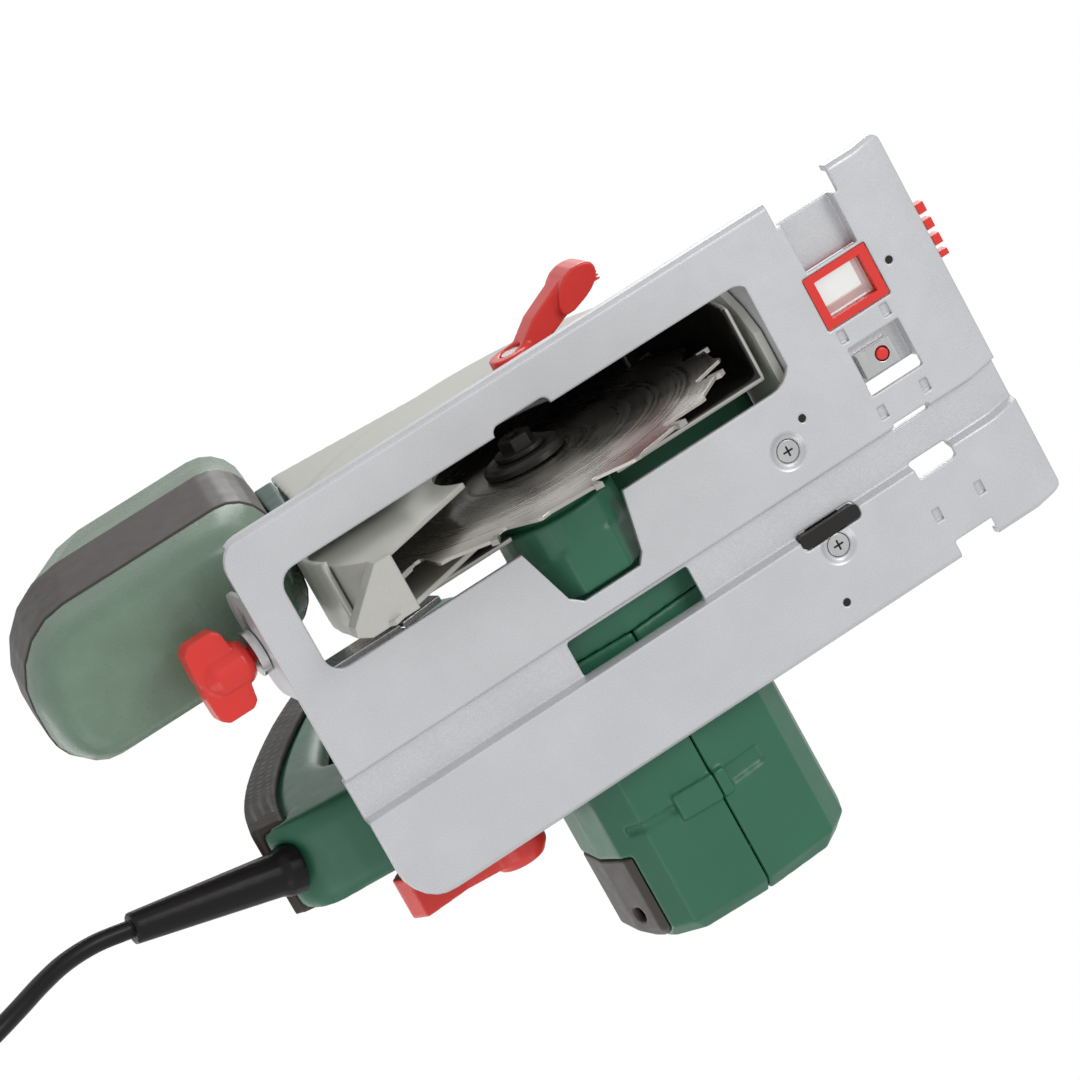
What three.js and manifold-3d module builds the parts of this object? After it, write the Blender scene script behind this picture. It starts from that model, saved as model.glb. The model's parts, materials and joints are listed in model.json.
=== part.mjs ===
// Hand-held circular saw with a 160 mm blade, a tilting sole, a plunge pivot at the front, a
// retracting lower guard, a motor across the blade and a dust box on the guard's outlet.
// Millimetres, +X forward, +Y to the motor side, +Z up. The origin is the middle of the sole's
// underside. The saw is set to its full depth of cut, upright, with the lower guard swung open.
import * as THREE from 'three';
import { mergeGeometries, mergeVertices } from 'three/addons/utils/BufferGeometryUtils.js';
import Module from 'manifold-3d';

const wasm = await Module();
wasm.setup();

// ---- driving dimensions ---------------------------------------------------------------------
const GAP = 0.3;                                    // between touching pieces
const SOLE = { length: 288, width: 152, sheet: 2, rearRadius: 10, sideRadius: 17, frontRadius: 4,
  lip: 6, rampStart: 131, rampRise: 6 };
const CHANNEL = { y0: 20, y1: 38, rise: 4 };        // raised bead along the sole
const BLADE = { radius: 80, thickness: 2, y: -36, teeth: 12, bore: 8.1 };
const ARBOR = { x: -24, z: 25 };                    // spindle axis, along Y
const GEARS = { module: 1.25, wheel: 29, pinion: 8, y0: -10, y1: 0 };
const MOTOR = { x: -24, z: ARBOR.z + GEARS.module * (GEARS.wheel + GEARS.pinion) / 2,
  y0: 34, y1: 147, wall: 3 };
const BEVEL = { y: -40, z: 0 };                     // tilt axis, along X, in the sole's plane
const REAR_ARC = { radius: 17.5, angle: 67.5 };     // where the rear clamp bolt sits
const FRONT_ARC = { radius: 40, angle: 67.5 };      // where the front clamp bolt sits
const PIVOT = { x: 58, z: 48 };                     // plunge axis, along Y
const CLAMP = { x: -93, z: 45 };                    // depth clamp axis, along Y
const UPPER = { radius: 90, wall: 3, y0: -59, y1: -19 };
const LOWER = { radius: 86.5, inner: 84, y0: -47, y1: -24.6, start: 40, end: 211 };
const LEVER_RADIUS = 41;                            // the guard lever's slot, from the arbor
const LEVER_ANGLE = 56;
const HANDLE = { y0: 34, y1: 70, parting: 52 };
const FENCE = { x0: 92, x1: 119 };                  // lane across the sole for a parallel fence
const CORD = { radius: 3.5, coilX: -372, coilY: 93.5, coilIn: 23.7, coilOut: 60.7, coilTall: 14 };

// ---- colours and finishes -------------------------------------------------------------------
const paint = (color, roughness, metalness = 0, opacity = 1) =>
  new THREE.MeshStandardMaterial({ color, roughness, metalness, opacity, transparent: opacity < 1 });
const SILVER = paint(0xd6d8dc, 0.42, 0.6);
const CAST = paint(0xc8c8c0, 0.5, 0.2);
const GREEN = paint(0x2c684e, 0.45);
const DARK_GREEN = paint(0x1f4a38, 0.5);
const RED = paint(0xd23a30, 0.4);
const CHARCOAL = paint(0x48423e, 0.7);
const BLACK = paint(0x26241f, 0.6);
const STEEL = paint(0xa5a096, 0.3, 1);
const ZINC = paint(0xc4c6c2, 0.3, 0.9);
const DARK_STEEL = paint(0x34322f, 0.45, 0.7);
const COPPER = paint(0xb5703a, 0.35, 0.9);
const SMOKED = paint(0x6e8778, 0.3, 0, 0.7);
const CLEAR = paint(0xe8ecea, 0.15, 0, 0.4);
const CARBON = paint(0x2e2e30, 0.8);

// ---- solids ---------------------------------------------------------------------------------
const rad = (degrees) => degrees * Math.PI / 180;

function toSolid(geometry) {
  const bare = geometry.index ? geometry.toNonIndexed() : geometry.clone();
  for (const name of ['normal', 'uv']) bare.deleteAttribute(name);
  const merged = mergeVertices(bare, 1e-4);
  const solid = new wasm.Manifold(new wasm.Mesh({
    numProp: 3,
    vertProperties: new Float32Array(merged.attributes.position.array),
    triVerts: new Uint32Array(merged.index.array),
  }));
  if (solid.status() !== 'NoError' || solid.isEmpty()) throw new Error('open solid');
  return solid;
}

function toGeometry(solid) {
  const { vertProperties, triVerts } = solid.getMesh();
  const geometry = new THREE.BufferGeometry();
  geometry.setAttribute('position', new THREE.BufferAttribute(vertProperties, 3));
  geometry.setIndex(new THREE.BufferAttribute(triVerts, 1));
  geometry.computeVertexNormals();
  return geometry;
}

const join = (...solids) => solids.reduce((a, b) => a.add(b));
const cut = (solid, ...tools) => tools.reduce((a, b) => a.subtract(b), solid);

function box(x0, x1, y0, y1, z0, z1) {
  const geometry = new THREE.BoxGeometry(x1 - x0, y1 - y0, z1 - z0);
  return toSolid(geometry.translate((x0 + x1) / 2, (y0 + y1) / 2, (z0 + z1) / 2));
}

const AXES = {
  x: new THREE.Matrix4().makeBasis(new THREE.Vector3(0, 1, 0), new THREE.Vector3(0, 0, 1),
    new THREE.Vector3(1, 0, 0)),
  y: new THREE.Matrix4().makeBasis(new THREE.Vector3(0, 0, 1), new THREE.Vector3(1, 0, 0),
    new THREE.Vector3(0, 1, 0)),
  z: new THREE.Matrix4(),
};

// A turned piece: profile points are [radius, height along the axis], closed on the axis.
function turned(axis, centre, profile, segments = 24) {
  const points = profile.map(([r, h]) => new THREE.Vector2(r, h));
  const geometry = new THREE.LatheGeometry(points, segments).rotateX(Math.PI / 2);
  return toSolid(geometry.applyMatrix4(AXES[axis]).translate(...centre));
}

// A round bar or, with a bore, a ring. It runs from h0 to h1 along the axis.
function rod(axis, centre, radius, h0, h1, bore = 0, segments = 20) {
  const profile = bore > 0
    ? [[bore, h0], [radius, h0], [radius, h1], [bore, h1], [bore, h0]]
    : [[0, h0], [radius, h0], [radius, h1], [0, h1]];
  return turned(axis, centre, profile, segments);
}

// Flat outlines pushed along an axis. z: points are (x, y); x: (y, z); y: (x, z).
function pushed(axis, shape, h0, h1, curveSegments = 3) {
  const geometry = new THREE.ExtrudeGeometry(shape, { depth: h1 - h0, bevelEnabled: false, curveSegments });
  geometry.translate(0, 0, h0);
  if (axis === 'x') geometry.applyMatrix4(AXES.x);
  if (axis === 'y') geometry.rotateX(Math.PI / 2).scale(1, -1, 1);
  const solid = axis === 'y' ? toSolid(flipped(geometry)) : toSolid(geometry);
  return solid;
}

function flipped(geometry) {
  const bare = geometry.toNonIndexed === undefined || !geometry.index ? geometry : geometry.toNonIndexed();
  const p = bare.attributes.position;
  for (let i = 0; i < p.count; i += 3) {
    const [ax, ay, az] = [p.getX(i), p.getY(i), p.getZ(i)];
    p.setXYZ(i, p.getX(i + 2), p.getY(i + 2), p.getZ(i + 2));
    p.setXYZ(i + 2, ax, ay, az);
  }
  return bare;
}

// A closed outline with its corners cut twice, so that it reads as rounded.
function eased(points) {
  let out = points;
  for (let pass = 0; pass < 2; pass++) {
    out = out.flatMap(([u, v], i) => {
      const [a, b] = out[(i + 1) % out.length];
      return [[u * 0.75 + a * 0.25, v * 0.75 + b * 0.25], [u * 0.25 + a * 0.75, v * 0.25 + b * 0.75]];
    });
  }
  return out;
}

const curved = (points, steps) => new THREE.SplineCurve(points.map(([u, v]) => new THREE.Vector2(u, v)))
  .getPoints(steps).map(({ x, y }) => [x, y]);

const outline = (points) => new THREE.Shape(points.map(([u, v]) => new THREE.Vector2(u, v)));

// A rectangle with one radius, or one for each corner: low-low, high-low, high-high, low-high.
function roundedBox(u0, u1, v0, v1, radius) {
  const [a, b, c, d] = Array.isArray(radius) ? radius : [radius, radius, radius, radius];
  const shape = new THREE.Shape();
  shape.moveTo(u0 + a, v0).lineTo(u1 - b, v0);
  shape.absarc(u1 - b, v0 + b, b, -Math.PI / 2, 0);
  shape.lineTo(u1, v1 - c);
  shape.absarc(u1 - c, v1 - c, c, 0, Math.PI / 2);
  shape.lineTo(u0 + d, v1);
  shape.absarc(u0 + d, v1 - d, d, Math.PI / 2, Math.PI);
  shape.lineTo(u0, v0 + a);
  shape.absarc(u0 + a, v0 + a, a, Math.PI, 1.5 * Math.PI);
  return shape;
}

// A ring sector between two radii and two angles in degrees.
function sector(cu, cv, inner, outer, from, to, segments = 24) {
  const shape = new THREE.Shape();
  const at = (r, t) => [cu + r * Math.cos(rad(t)), cv + r * Math.sin(rad(t))];
  const steps = Math.max(2, Math.ceil(Math.abs(to - from) / 360 * segments * 2));
  shape.moveTo(...at(outer, from));
  for (let i = 1; i <= steps; i++) shape.lineTo(...at(outer, from + (to - from) * i / steps));
  for (let i = steps; i >= 0; i--) shape.lineTo(...at(inner, from + (to - from) * i / steps));
  return shape;
}

// A tube of even radius along hand-placed points.
function tube(points, radius, sides, steps) {
  const path = new THREE.CatmullRomCurve3(points.map((p) => new THREE.Vector3(...p)));
  const section = new THREE.Shape();
  for (let i = 0; i < sides; i++) {
    const t = 2 * Math.PI * i / sides;
    const [u, v] = [radius * Math.cos(t), radius * Math.sin(t)];
    if (i === 0) section.moveTo(u, v); else section.lineTo(u, v);
  }
  return toSolid(new THREE.ExtrudeGeometry(section, { steps, bevelEnabled: false, extrudePath: path }));
}

// A rounded rectangle in plan at a height: its radius, and a larger one at the low-low corner.
function planRing({ x0, x1, y0, y1, z, r, rear = r }) {
  const points = [];
  const corners = [[x0 + rear, y0 + rear, rear, 180], [x1 - r, y0 + r, r, 270], [x1 - r, y1 - r, r, 0],
    [x0 + r, y1 - r, r, 90]];
  for (const [u, v, size, from] of corners) {
    for (let i = 0; i <= 5; i++) {
      const t = rad(from + 18 * i);
      points.push([u + size * Math.cos(t), v + size * Math.sin(t), z]);
    }
  }
  return points;
}

// A body with flat ends through plan rings of one point count, lowest first.
function loft(rings) {
  const corners = [];
  const fan = (ring, turned) => {
    const middle = ring.reduce((a, p) => a.map((v, i) => v + p[i] / ring.length), [0, 0, 0]);
    ring.forEach((p, i) => {
      const q = ring[(i + 1) % ring.length];
      corners.push(middle, ...(turned ? [q, p] : [p, q]));
    });
  };
  for (let k = 0; k + 1 < rings.length; k++) {
    rings[k].forEach((a, i) => {
      const j = (i + 1) % rings[k].length;
      const [b, c, d] = [rings[k][j], rings[k + 1][j], rings[k + 1][i]];
      corners.push(a, b, c, a, c, d);
    });
  }
  fan(rings[0], true);
  fan(rings[rings.length - 1], false);
  const geometry = new THREE.BufferGeometry();
  geometry.setAttribute('position', new THREE.Float32BufferAttribute(corners.flat(), 3));
  return toSolid(geometry);
}

const group = new THREE.Group();

function add(name, solid, material) {
  const mesh = new THREE.Mesh(toGeometry(solid), material);
  mesh.name = name;
  group.add(mesh);
}

const onArbor = [ARBOR.x, 0, ARBOR.z];
const onMotor = [MOTOR.x, 0, MOTOR.z];

// ---- the sole and what is fixed to it -------------------------------------------------------
function soleSection() {
  const half = SOLE.width / 2;
  const t = SOLE.sheet;
  return outline([
    [-half, SOLE.lip], [-half, 1.5], [1.5 - half, 0], [CHANNEL.y0, 0], [CHANNEL.y0 + 1.5, CHANNEL.rise],
    [CHANNEL.y1 - 1.5, CHANNEL.rise], [CHANNEL.y1, 0], [half - 1.5, 0], [half, 1.5], [half, SOLE.lip],
    [half - t, SOLE.lip], [half - t, t + 0.5], [half - t - 0.5, t], [CHANNEL.y1 + 1, t],
    [CHANNEL.y1 - 0.5, CHANNEL.rise + t], [CHANNEL.y0 + 0.5, CHANNEL.rise + t], [CHANNEL.y0 - 1, t],
    [t + 0.5 - half, t], [t - half, t + 0.5], [t - half, SOLE.lip],
  ]);
}

function ramp(solid) {
  const slope = SOLE.rampRise / (SOLE.length / 2 - SOLE.rampStart);
  return solid.warp((p) => { if (p[0] > SOLE.rampStart) p[2] += slope * (p[0] - SOLE.rampStart); });
}

function arcSlot({ radius, angle }, x0, x1, halfWidth) {
  const room = 180 / Math.PI * (halfWidth / radius) + 1;
  const shape = sector(BEVEL.y, BEVEL.z, radius - halfWidth, radius + halfWidth, angle - room,
    angle + 45 + room, 20);
  return pushed('x', shape, x0, x1);
}

function basePlate() {
  const half = SOLE.length / 2;
  const flat = pushed('x', soleSection(), -half, SOLE.rampStart);
  const nose = ramp(pushed('x', soleSection(), SOLE.rampStart, half));
  const plan = roundedBox(-half, half, -SOLE.width / 2, SOLE.width / 2,
    [SOLE.rearRadius, SOLE.frontRadius, SOLE.frontRadius, SOLE.sideRadius]);
  let plate = join(flat, nose).intersect(pushed('z', plan, -5, 30));
  const through = (shape) => pushed('z', shape, -2, 20);
  plate = cut(plate,
    through(roundedBox(-129, 73, -56.6, -15, [7, 7, 12, 7])),
    through(roundedBox(ARBOR.x - 12, ARBOR.x + 12, -60, -50, 3)),
    through(outline([[-49, -17], [-4, -17], [-9, 8], [-12, 12], [-36, 12], [-41, 8]])),
    through(roundedBox(-49, 4, 22.5, 37, 1.5)),
    through(outline([[FENCE.x0, -80], [FENCE.x1, -80], [FENCE.x1, -66], [FENCE.x0, -66]])),
    through(roundedBox(FENCE.x0 + 2, FENCE.x1 - 2, -66.5, -46, 1)),
    through(roundedBox(FENCE.x0 - 1, FENCE.x1, -45, -23, 1)),
    through(roundedBox(FENCE.x0 + 2, FENCE.x1 - 2, -14, 6, 1)),
    through(roundedBox(96, 112, 19, 22, 0.5)),
    through(roundedBox(95, 112, 35.5, 42, 1.5)),
    through(roundedBox(44, 70, 35.5, 42, 2.5)),
    through(roundedBox(96, 113, 69, 80, 1)));
  for (const [x, y] of [[67, -1.5], [49, 66], [124, -34]]) plate = cut(plate, rod('z', [x, y, 0], 1.6, -2, 1.3, 0, 12));
  for (const y of [6, 46]) {
    plate = cut(plate, rod('z', [56.5, y, 0], 2.4, -2, 12, 0, 12), rod('z', [56.5, y, 0], 4.6, -2, 1.1, 0, 20));
  }
  for (const x of [95, 114]) {
    for (const y of [-19, 13, 57]) plate = cut(plate, box(x - 1.6, x + 1.6, y - 2.5, y + 2.5, -2, 1.2));
  }
  const bridges = join(
    box(FENCE.x0, FENCE.x0 + 2.2, -66, -45.3, 0, 8), box(FENCE.x1 - 2.2, FENCE.x1, -66, -45.3, 0, 8),
    box(FENCE.x0, FENCE.x1, -66, -45.3, 6, 8),
    box(FENCE.x0, FENCE.x0 + 2.2, -14, 2, 0, 8), box(FENCE.x1 - 2.2, FENCE.x1, -14, 2, 0, 8),
    box(FENCE.x0, FENCE.x1, -14, 2, 6, 8));
  plate = cut(join(plate, bridges), rod('z', [106, -5, 0], 3, 4, 12, 0, 16));
  const rear = cut(pushed('x', roundedBox(-56, -14, 0, 27, [0.5, 0.5, 9, 9]), -half, -half + SOLE.sheet),
    arcSlot(REAR_ARC, -half - 1, -half + 3, 4.2));
  const front = cut(pushed('x', outline([[-54, 0], [-18, 0], [-13, 20], [-14, 42], [-22, 49], [-58, 49],
    [-66, 42], [-66, 30]]), 71.4, 73.4), arcSlot(FRONT_ARC, 70, 75, 4));
  return join(plate, rear, front);
}

function sightFrame() {
  const rim = cut(box(FENCE.x0 - 0.6, FENCE.x1 - 0.4, -44.6, -23.4, 0.4, 5.6),
    box(FENCE.x0 + 3, FENCE.x1 - 4, -41.5, -26.5, -1, 7));
  const bar = join(box(FENCE.x0 + 3, FENCE.x1 + 24, -43, -40, 9.5, 11.5),
    box(FENCE.x0 + 3, FENCE.x1 + 24, -29, -26, 9.5, 11.5), box(FENCE.x1 + 20, FENCE.x1 + 24, -44, -22, 9.5, 13),
    box(FENCE.x1 - 5, FENCE.x1 - 1, -44, -23.6, 5, 11));
  const comb = box(SOLE.length / 2 + 0.5, SOLE.length / 2 + 4, -44, -22, 7, 12.5);
  const arm = box(FENCE.x1 + 22, SOLE.length / 2 + 4, -44, -22, 9.5, 12.5);
  let solid = join(rim, bar, arm, comb);
  for (const y of [-40, -33.5, -27]) solid = cut(solid, box(SOLE.length / 2 - 2, SOLE.length / 2 + 5, y, y + 2.6, 6, 14));
  return solid;
}

const sightWindow = () => box(FENCE.x0 + 3.3, FENCE.x1 - 4.3, -41.2, -26.8, 3, 4.4);

const fenceClampBlock = () => cut(box(96.5, 111.5, -9.5, 0.5, 2.6, 5.6), rod('z', [106, -5, 0], 2.9, 2, 7, 0, 16));

function fenceClampBolt() {
  const shank = rod('z', [106, -5, 0], 2.5, 2.2, 14, 0, 12);
  const hub = rod('z', [106, -5, 0], 7, 9, 22, 0, 16);
  return join(shank, hub, pushed('z', roundedBox(88, 124, -8, -2, 2.9), 12, 22, 3));
}

const soleInsert = () => join(pushed('z', roundedBox(44.4, 69.6, 36, 41.6, 2), 0.4, 5.4, 4),
  box(50, 64, 1, 51, 6.4, 8.4), box(50, 64, 36.5, 41.4, 5, 7));

function soleScrew(y) {
  return join(rod('z', [56.5, y, 0], 2, 0.4, 6.1, 0, 12), rod('z', [56.5, y, 0], 4.2, 0.1, 0.8, 0, 20));
}

// ---- what tilts on the sole -----------------------------------------------------------------
const boltAt = (arc) => [BEVEL.y + arc.radius * Math.cos(rad(arc.angle)),
  BEVEL.z + arc.radius * Math.sin(rad(arc.angle))];

function frontTiltBracket() {
  const [by, bz] = boltAt(FRONT_ARC);
  const plate = pushed('x', outline([[-45, 12], [-36, 6], [-4, 6], [10, 34], [10, 56], [-50, 56], [-56, 46],
    [-56, 26]]), 67.6, 70.8);
  const ears = [[-17, -14], [6, 9]].map(([y0, y1]) => join(box(PIVOT.x, 68, y0, y1, 38, 56),
    rod('y', [PIVOT.x, 0, PIVOT.z], 9, y0, y1, 0, 24)));
  const held = cut(join(plate, ...ears), rod('y', [PIVOT.x, 0, PIVOT.z], 4.2, -20, 12, 0, 20));
  return cut(held, rod('x', [0, by, bz], 3.3, 60, 75, 0, 16));
}

const pivotPin = () => join(rod('y', [PIVOT.x, 0, PIVOT.z], 3.9, -17.4, 10.6, 0, 20),
  rod('y', [PIVOT.x, 0, PIVOT.z], 6, 9.3, 11, 0, 20));

function rearTiltPlate() {
  const [by, bz] = boltAt(REAR_ARC);
  const plate = pushed('x', outline([[-46, 10.5], [-38, 4.4], [-10, 4.4], [-10, 31], [-50, 31], [-52, 20]]),
    -141.6, -139.2);
  return cut(plate, rod('x', [0, by, bz], 3.8, -145, -135, 0, 16));
}

function depthGuide() {
  const r = PIVOT.x - CLAMP.x;
  const arc = cut(pushed('y', sector(PIVOT.x, PIVOT.z, r - 9, r + 9, 139, 195, 40), -16, -13.4),
    pushed('y', sector(PIVOT.x, PIVOT.z, r - 4.6, r + 4.6, 141, 183, 40), -18, -11));
  return join(arc, box(-138.8, -98, -16, -13.4, 6, 20), box(-138.8, -136.6, -34, -13.4, 20, 31),
    box(-138.8, -130, -16, -13.4, 6, 31));
}

// A wing bolt on an X axis: shank, domed hub and two wings along Y.
function wingBolt(y, z, shank, x0, x1, facing) {
  const hub = turned('x', [0, y, z], facing < 0
    ? [[0, x0], [6, x0], [8.5, x0 + 4], [8.5, x1 - 3], [6.5, x1], [0, x1]]
    : [[0, x0], [6.5, x0], [8.5, x0 + 3], [8.5, x1 - 4], [6, x1], [0, x1]], 16);
  const [near, far] = facing < 0 ? [x1 - 4, x0 - 2] : [x0 + 4, x1 + 2];
  const flare = (side) => outline([[near, y + side * 5], [near + facing * 1.5, y + side * 14], [near + facing * 4, y + side * 16],
    [far - facing * 3, y + side * 16], [far, y + side * 13.5], [far + facing * 0.5, y + side * 4], [far, y], [near, y]]);
  const wing = join(...[-1, 1].map((side) => pushed('z', flare(side), z - 5, z + 5)));
  return join(hub, wing, rod('x', [0, y, z], 3, ...shank, 0, 12));
}

const rearWingKnob = () => wingBolt(...boltAt(REAR_ARC), [-160, -137], -168, -149, -1);
const frontWingKnob = () => wingBolt(...boltAt(FRONT_ARC), [66.5, 85], 76, 92, 1);
const rearWasher = () => rod('x', [0, ...boltAt(REAR_ARC)], 9, -147.8, -144.4, 3.4, 24);

// ---- spindle, blade and gears ---------------------------------------------------------------
function toothedWheel(centre, teeth, bore, y0, y1) {
  const m = GEARS.module;
  const pitch = m * teeth / 2;
  const [tip, root] = [pitch + 0.75 * m, pitch - 1.1 * m];
  const points = [];
  for (let i = 0; i < teeth; i++) {
    const at = (r, share) => {
      const t = 2 * Math.PI * (i + share + (teeth % 2 ? 0.5 : 0)) / teeth;
      return [centre[0] + r * Math.sin(t), centre[2] + r * Math.cos(t)];
    };
    points.push(at(root, -0.3), at(tip, -0.1), at(tip, 0.1), at(root, 0.3));
  }
  return cut(pushed('y', outline(points.reverse()), y0, y1), rod('y', centre, bore, y0 - 1, y1 + 1, 0, 24));
}

function bladeDisc() {
  const { radius, teeth, bore, thickness, y } = BLADE;
  const points = [];
  const at = (r, degrees) => points.push([ARBOR.x + r * Math.cos(rad(degrees)), ARBOR.z + r * Math.sin(rad(degrees))]);
  for (let i = 0; i < teeth; i++) {
    const t = i * 360 / teeth;
    at(radius, t);
    at(radius - 9, t + 1.2);
    at(radius - 13, t + 5);
    at(radius - 11, t + 9);
    at(radius - 2.5, t + 12);
    at(radius - 1.5, t + 15);
    at(radius - 3.6, t + 19);
    at(radius - 3.2, t + 24);
  }
  return cut(pushed('y', outline(points), y - thickness / 2, y + thickness / 2),
    rod('y', onArbor, bore, -40, -30, 0, 16));
}

const innerFlange = () => rod('y', onArbor, 19, -34.7, -30.3, 8, 20);
const outerFlange = () => turned('y', onArbor, [[8, -40.8], [14, -40.8], [16, -39.6], [16, -37.3], [8, -37.3],
  [8, -40.8]], 32);
const spindle = () => cut(join(rod('y', onArbor, 7.7, -39.6, 1.6, 0, 16), rod('y', onArbor, 6, 1, 10, 0, 16)),
  rod('y', onArbor, 3.6, -41, -24, 0, 16));
function bladeBolt() {
  const head = rod('y', onArbor, 6.8, -47.6, -42.6, 0, 6);
  return cut(join(head, rod('y', onArbor, 10, -43, -41.1, 0, 16), rod('y', onArbor, 3.2, -42, -26, 0, 16)),
    rod('y', onArbor, 3, -49, -44.4, 0, 6));
}

const spindleBearing = () => rod('y', onArbor, 15.7, -26, -15.4, 8, 16);

function armature() {
  const shaft = rod('y', onMotor, 4, 1, 139, 0, 16);
  const core = rod('y', onMotor, 25, 46, 96, 0, 20);
  const windings = turned('y', onMotor, [[0, 41], [14, 41], [21, 46.5], [21, 95.5], [14, 101], [0, 101]], 24);
  const pinionSteel = toothedWheel(onMotor, GEARS.pinion, 1, GEARS.y0, GEARS.y1);
  return join(shaft, core, windings, pinionSteel, rod('y', onMotor, 3.5, -13, 2, 0, 16));
}

const commutator = () => rod('y', onMotor, 12, 104, 118, 4.3, 16);

function coolingFan() {
  const disc = rod('y', onMotor, 33, 18.5, 20.5, 0, 20);
  const blades = [...Array(9)].map((_, i) => {
    const a = rad(i * 40);
    const [c, s] = [Math.cos(a), Math.sin(a)];
    const quad = [[10, -1], [32, -4], [32, -2.4], [10, 1]].map(([u, v]) =>
      [MOTOR.x + u * c - v * s, MOTOR.z + u * s + v * c]);
    return pushed('y', outline(quad), 20, 28);
  });
  return cut(join(disc, ...blades, rod('y', onMotor, 11, 20, 28, 0, 16)), rod('y', onMotor, 4.3, 15, 30, 0, 16));
}

// ---- housings -------------------------------------------------------------------------------
// The motor's section: a low belly with a middle ridge, two facets and steep sides.
function motorSection(grow) {
  const half = [[0, -38.6], [31, -34], [41, -22], [45.5, -8], [45.5, 10], [40, 25], [28, 35], [0, 38.6]];
  const right = half.map(([u, v]) => {
    const size = Math.hypot(u, v);
    return [u === 0 ? 0 : u * (1 + grow / size), v * (1 + grow / size)];
  });
  const left = right.slice(1, -1).reverse().map(([u, v]) => [-u, v]);
  return outline([...right, ...left].map(([u, v]) => [MOTOR.x + u, MOTOR.z + v]));
}

function gearHousing() {
  const outer = join(
    rod('y', onArbor, 20, -27, -18, 0, 20),
    rod('y', onArbor, 24, -18.7, -5, 0, 28),
    pushed('y', outline([0, 1, 2, 3, 4, 5, 6, 7].map((i) => [ARBOR.x + 25 * Math.cos(rad(22.5 + 45 * i)),
      ARBOR.z + 25 * Math.sin(rad(22.5 + 45 * i))])), -6, 11),
    rod('y', onMotor, 18, -18.7, 13, 0, 20),
    box(ARBOR.x - 18, ARBOR.x + 18, -18.7, 13, ARBOR.z, MOTOR.z),
    pushed('y', motorSection(0), 12, MOTOR.y0 - GAP),
    box(-10, PIVOT.x, -13.4, 5.4, 39, 57), rod('y', [PIVOT.x, 0, PIVOT.z], 9, -13.4, 5.4, 0, 24),
    box(ARBOR.x + 10, 8, -8, 4, 19, 31),
    rod('y', [CLAMP.x, 0, CLAMP.z], 8.5, 4, MOTOR.y0 - GAP, 0, 24),
    box(CLAMP.x, -60, 13, 33, 40, 50));
  return cut(outer,
    rod('y', onArbor, 16, -28, -15.1, 0, 20),
    rod('y', onArbor, 9, -16, -11, 0, 16),
    rod('y', onArbor, 20.6, -12, 2, 0, 20),
    rod('y', onMotor, 8.5, -15, 5, 0, 16),
    rod('y', onArbor, 10.2, 1, 10.3, 0, 16),
    rod('y', onMotor, 11.3, 4.9, 14.3, 0, 16),
    rod('y', onMotor, 8, 14, 17.5, 0, 16),
    rod('y', onMotor, 35, 17, 40, 0, 20),
    rod('y', [PIVOT.x, 0, PIVOT.z], 4.2, -20, 12, 0, 20),
    rod('y', [CLAMP.x, 0, CLAMP.z], 4.4, 0, 40, 0, 20),
    rod('x', [0, -2, 25], 5.3, 1, 12, 0, 20),
    box(ARBOR.x - 0.4, ARBOR.x + 0.4, -5, 12, 1, 2.6));
}

function motorShell() {
  const outer = join(pushed('y', motorSection(0), MOTOR.y0, MOTOR.y1 - 6),
    taperedEnd(MOTOR.y1 - 6.01, MOTOR.y1, 0, -6));
  const hollow = pushed('y', motorSection(-MOTOR.wall), MOTOR.y0 - 1, MOTOR.y1 - 8);
  let shell = cut(outer, hollow);
  for (let i = -3; i <= 3; i++) {
    shell = cut(shell, box(MOTOR.x + i * 8 - 1.6, MOTOR.x + i * 8 + 1.6, MOTOR.y1 - 12, MOTOR.y1 + 2,
      MOTOR.z - 4, MOTOR.z + 22));
  }
  const skin = (low, high, ...span) => cut(pushed('y', motorSection(high), span[2], span[3]),
    pushed('y', motorSection(low), span[2] - 1, span[3] + 1)).intersect(box(...span, -5, MOTOR.z - 12));
  return cut(join(shell, skin(-0.5, 2.2, -41, -19, 95, 105.5)), skin(-1.4, 1.2, -60, -41, 98, 102),
    skin(-1.4, 1.2, -19, -3, 96, 103.5),
  rod('x', [MOTOR.x, 43, 13.5], 1.4, -2, 2, 0, 8));
}

// The motor's end: the section drawn in between two stations by a warp.
function taperedEnd(y0, y1, growFrom, growTo) {
  const solid = pushed('y', motorSection(growFrom), y0, y1);
  return solid.warp((p) => {
    if (p[1] > (y0 + y1) / 2) {
      const [u, v] = [p[0] - MOTOR.x, p[2] - MOTOR.z];
      const size = Math.hypot(u, v);
      p[0] = MOTOR.x + u * (1 + growTo / size);
      p[2] = MOTOR.z + v * (1 + growTo / size);
    }
  });
}

const COVER = { x: -62, y: 110, z: 64 };            // the charcoal corner cover on the motor's end

const motorFrontShell = () => motorShell().intersect(box(MOTOR.x + 0.15, 60, 0, 200, -20, 120));
const motorRearShell = () => cut(motorShell().intersect(box(-120, MOTOR.x - 0.15, 0, 200, -20, 120)),
  box(-120, COVER.x + GAP, COVER.y - GAP, 200, -20, COVER.z + GAP));
const brushCover = () => cut(motorShell().intersect(box(-120, COVER.x, COVER.y, 200, -20, COVER.z)),
  rod('x', [0, 134, 34], 3, -80, -60, 0, 16));

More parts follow.
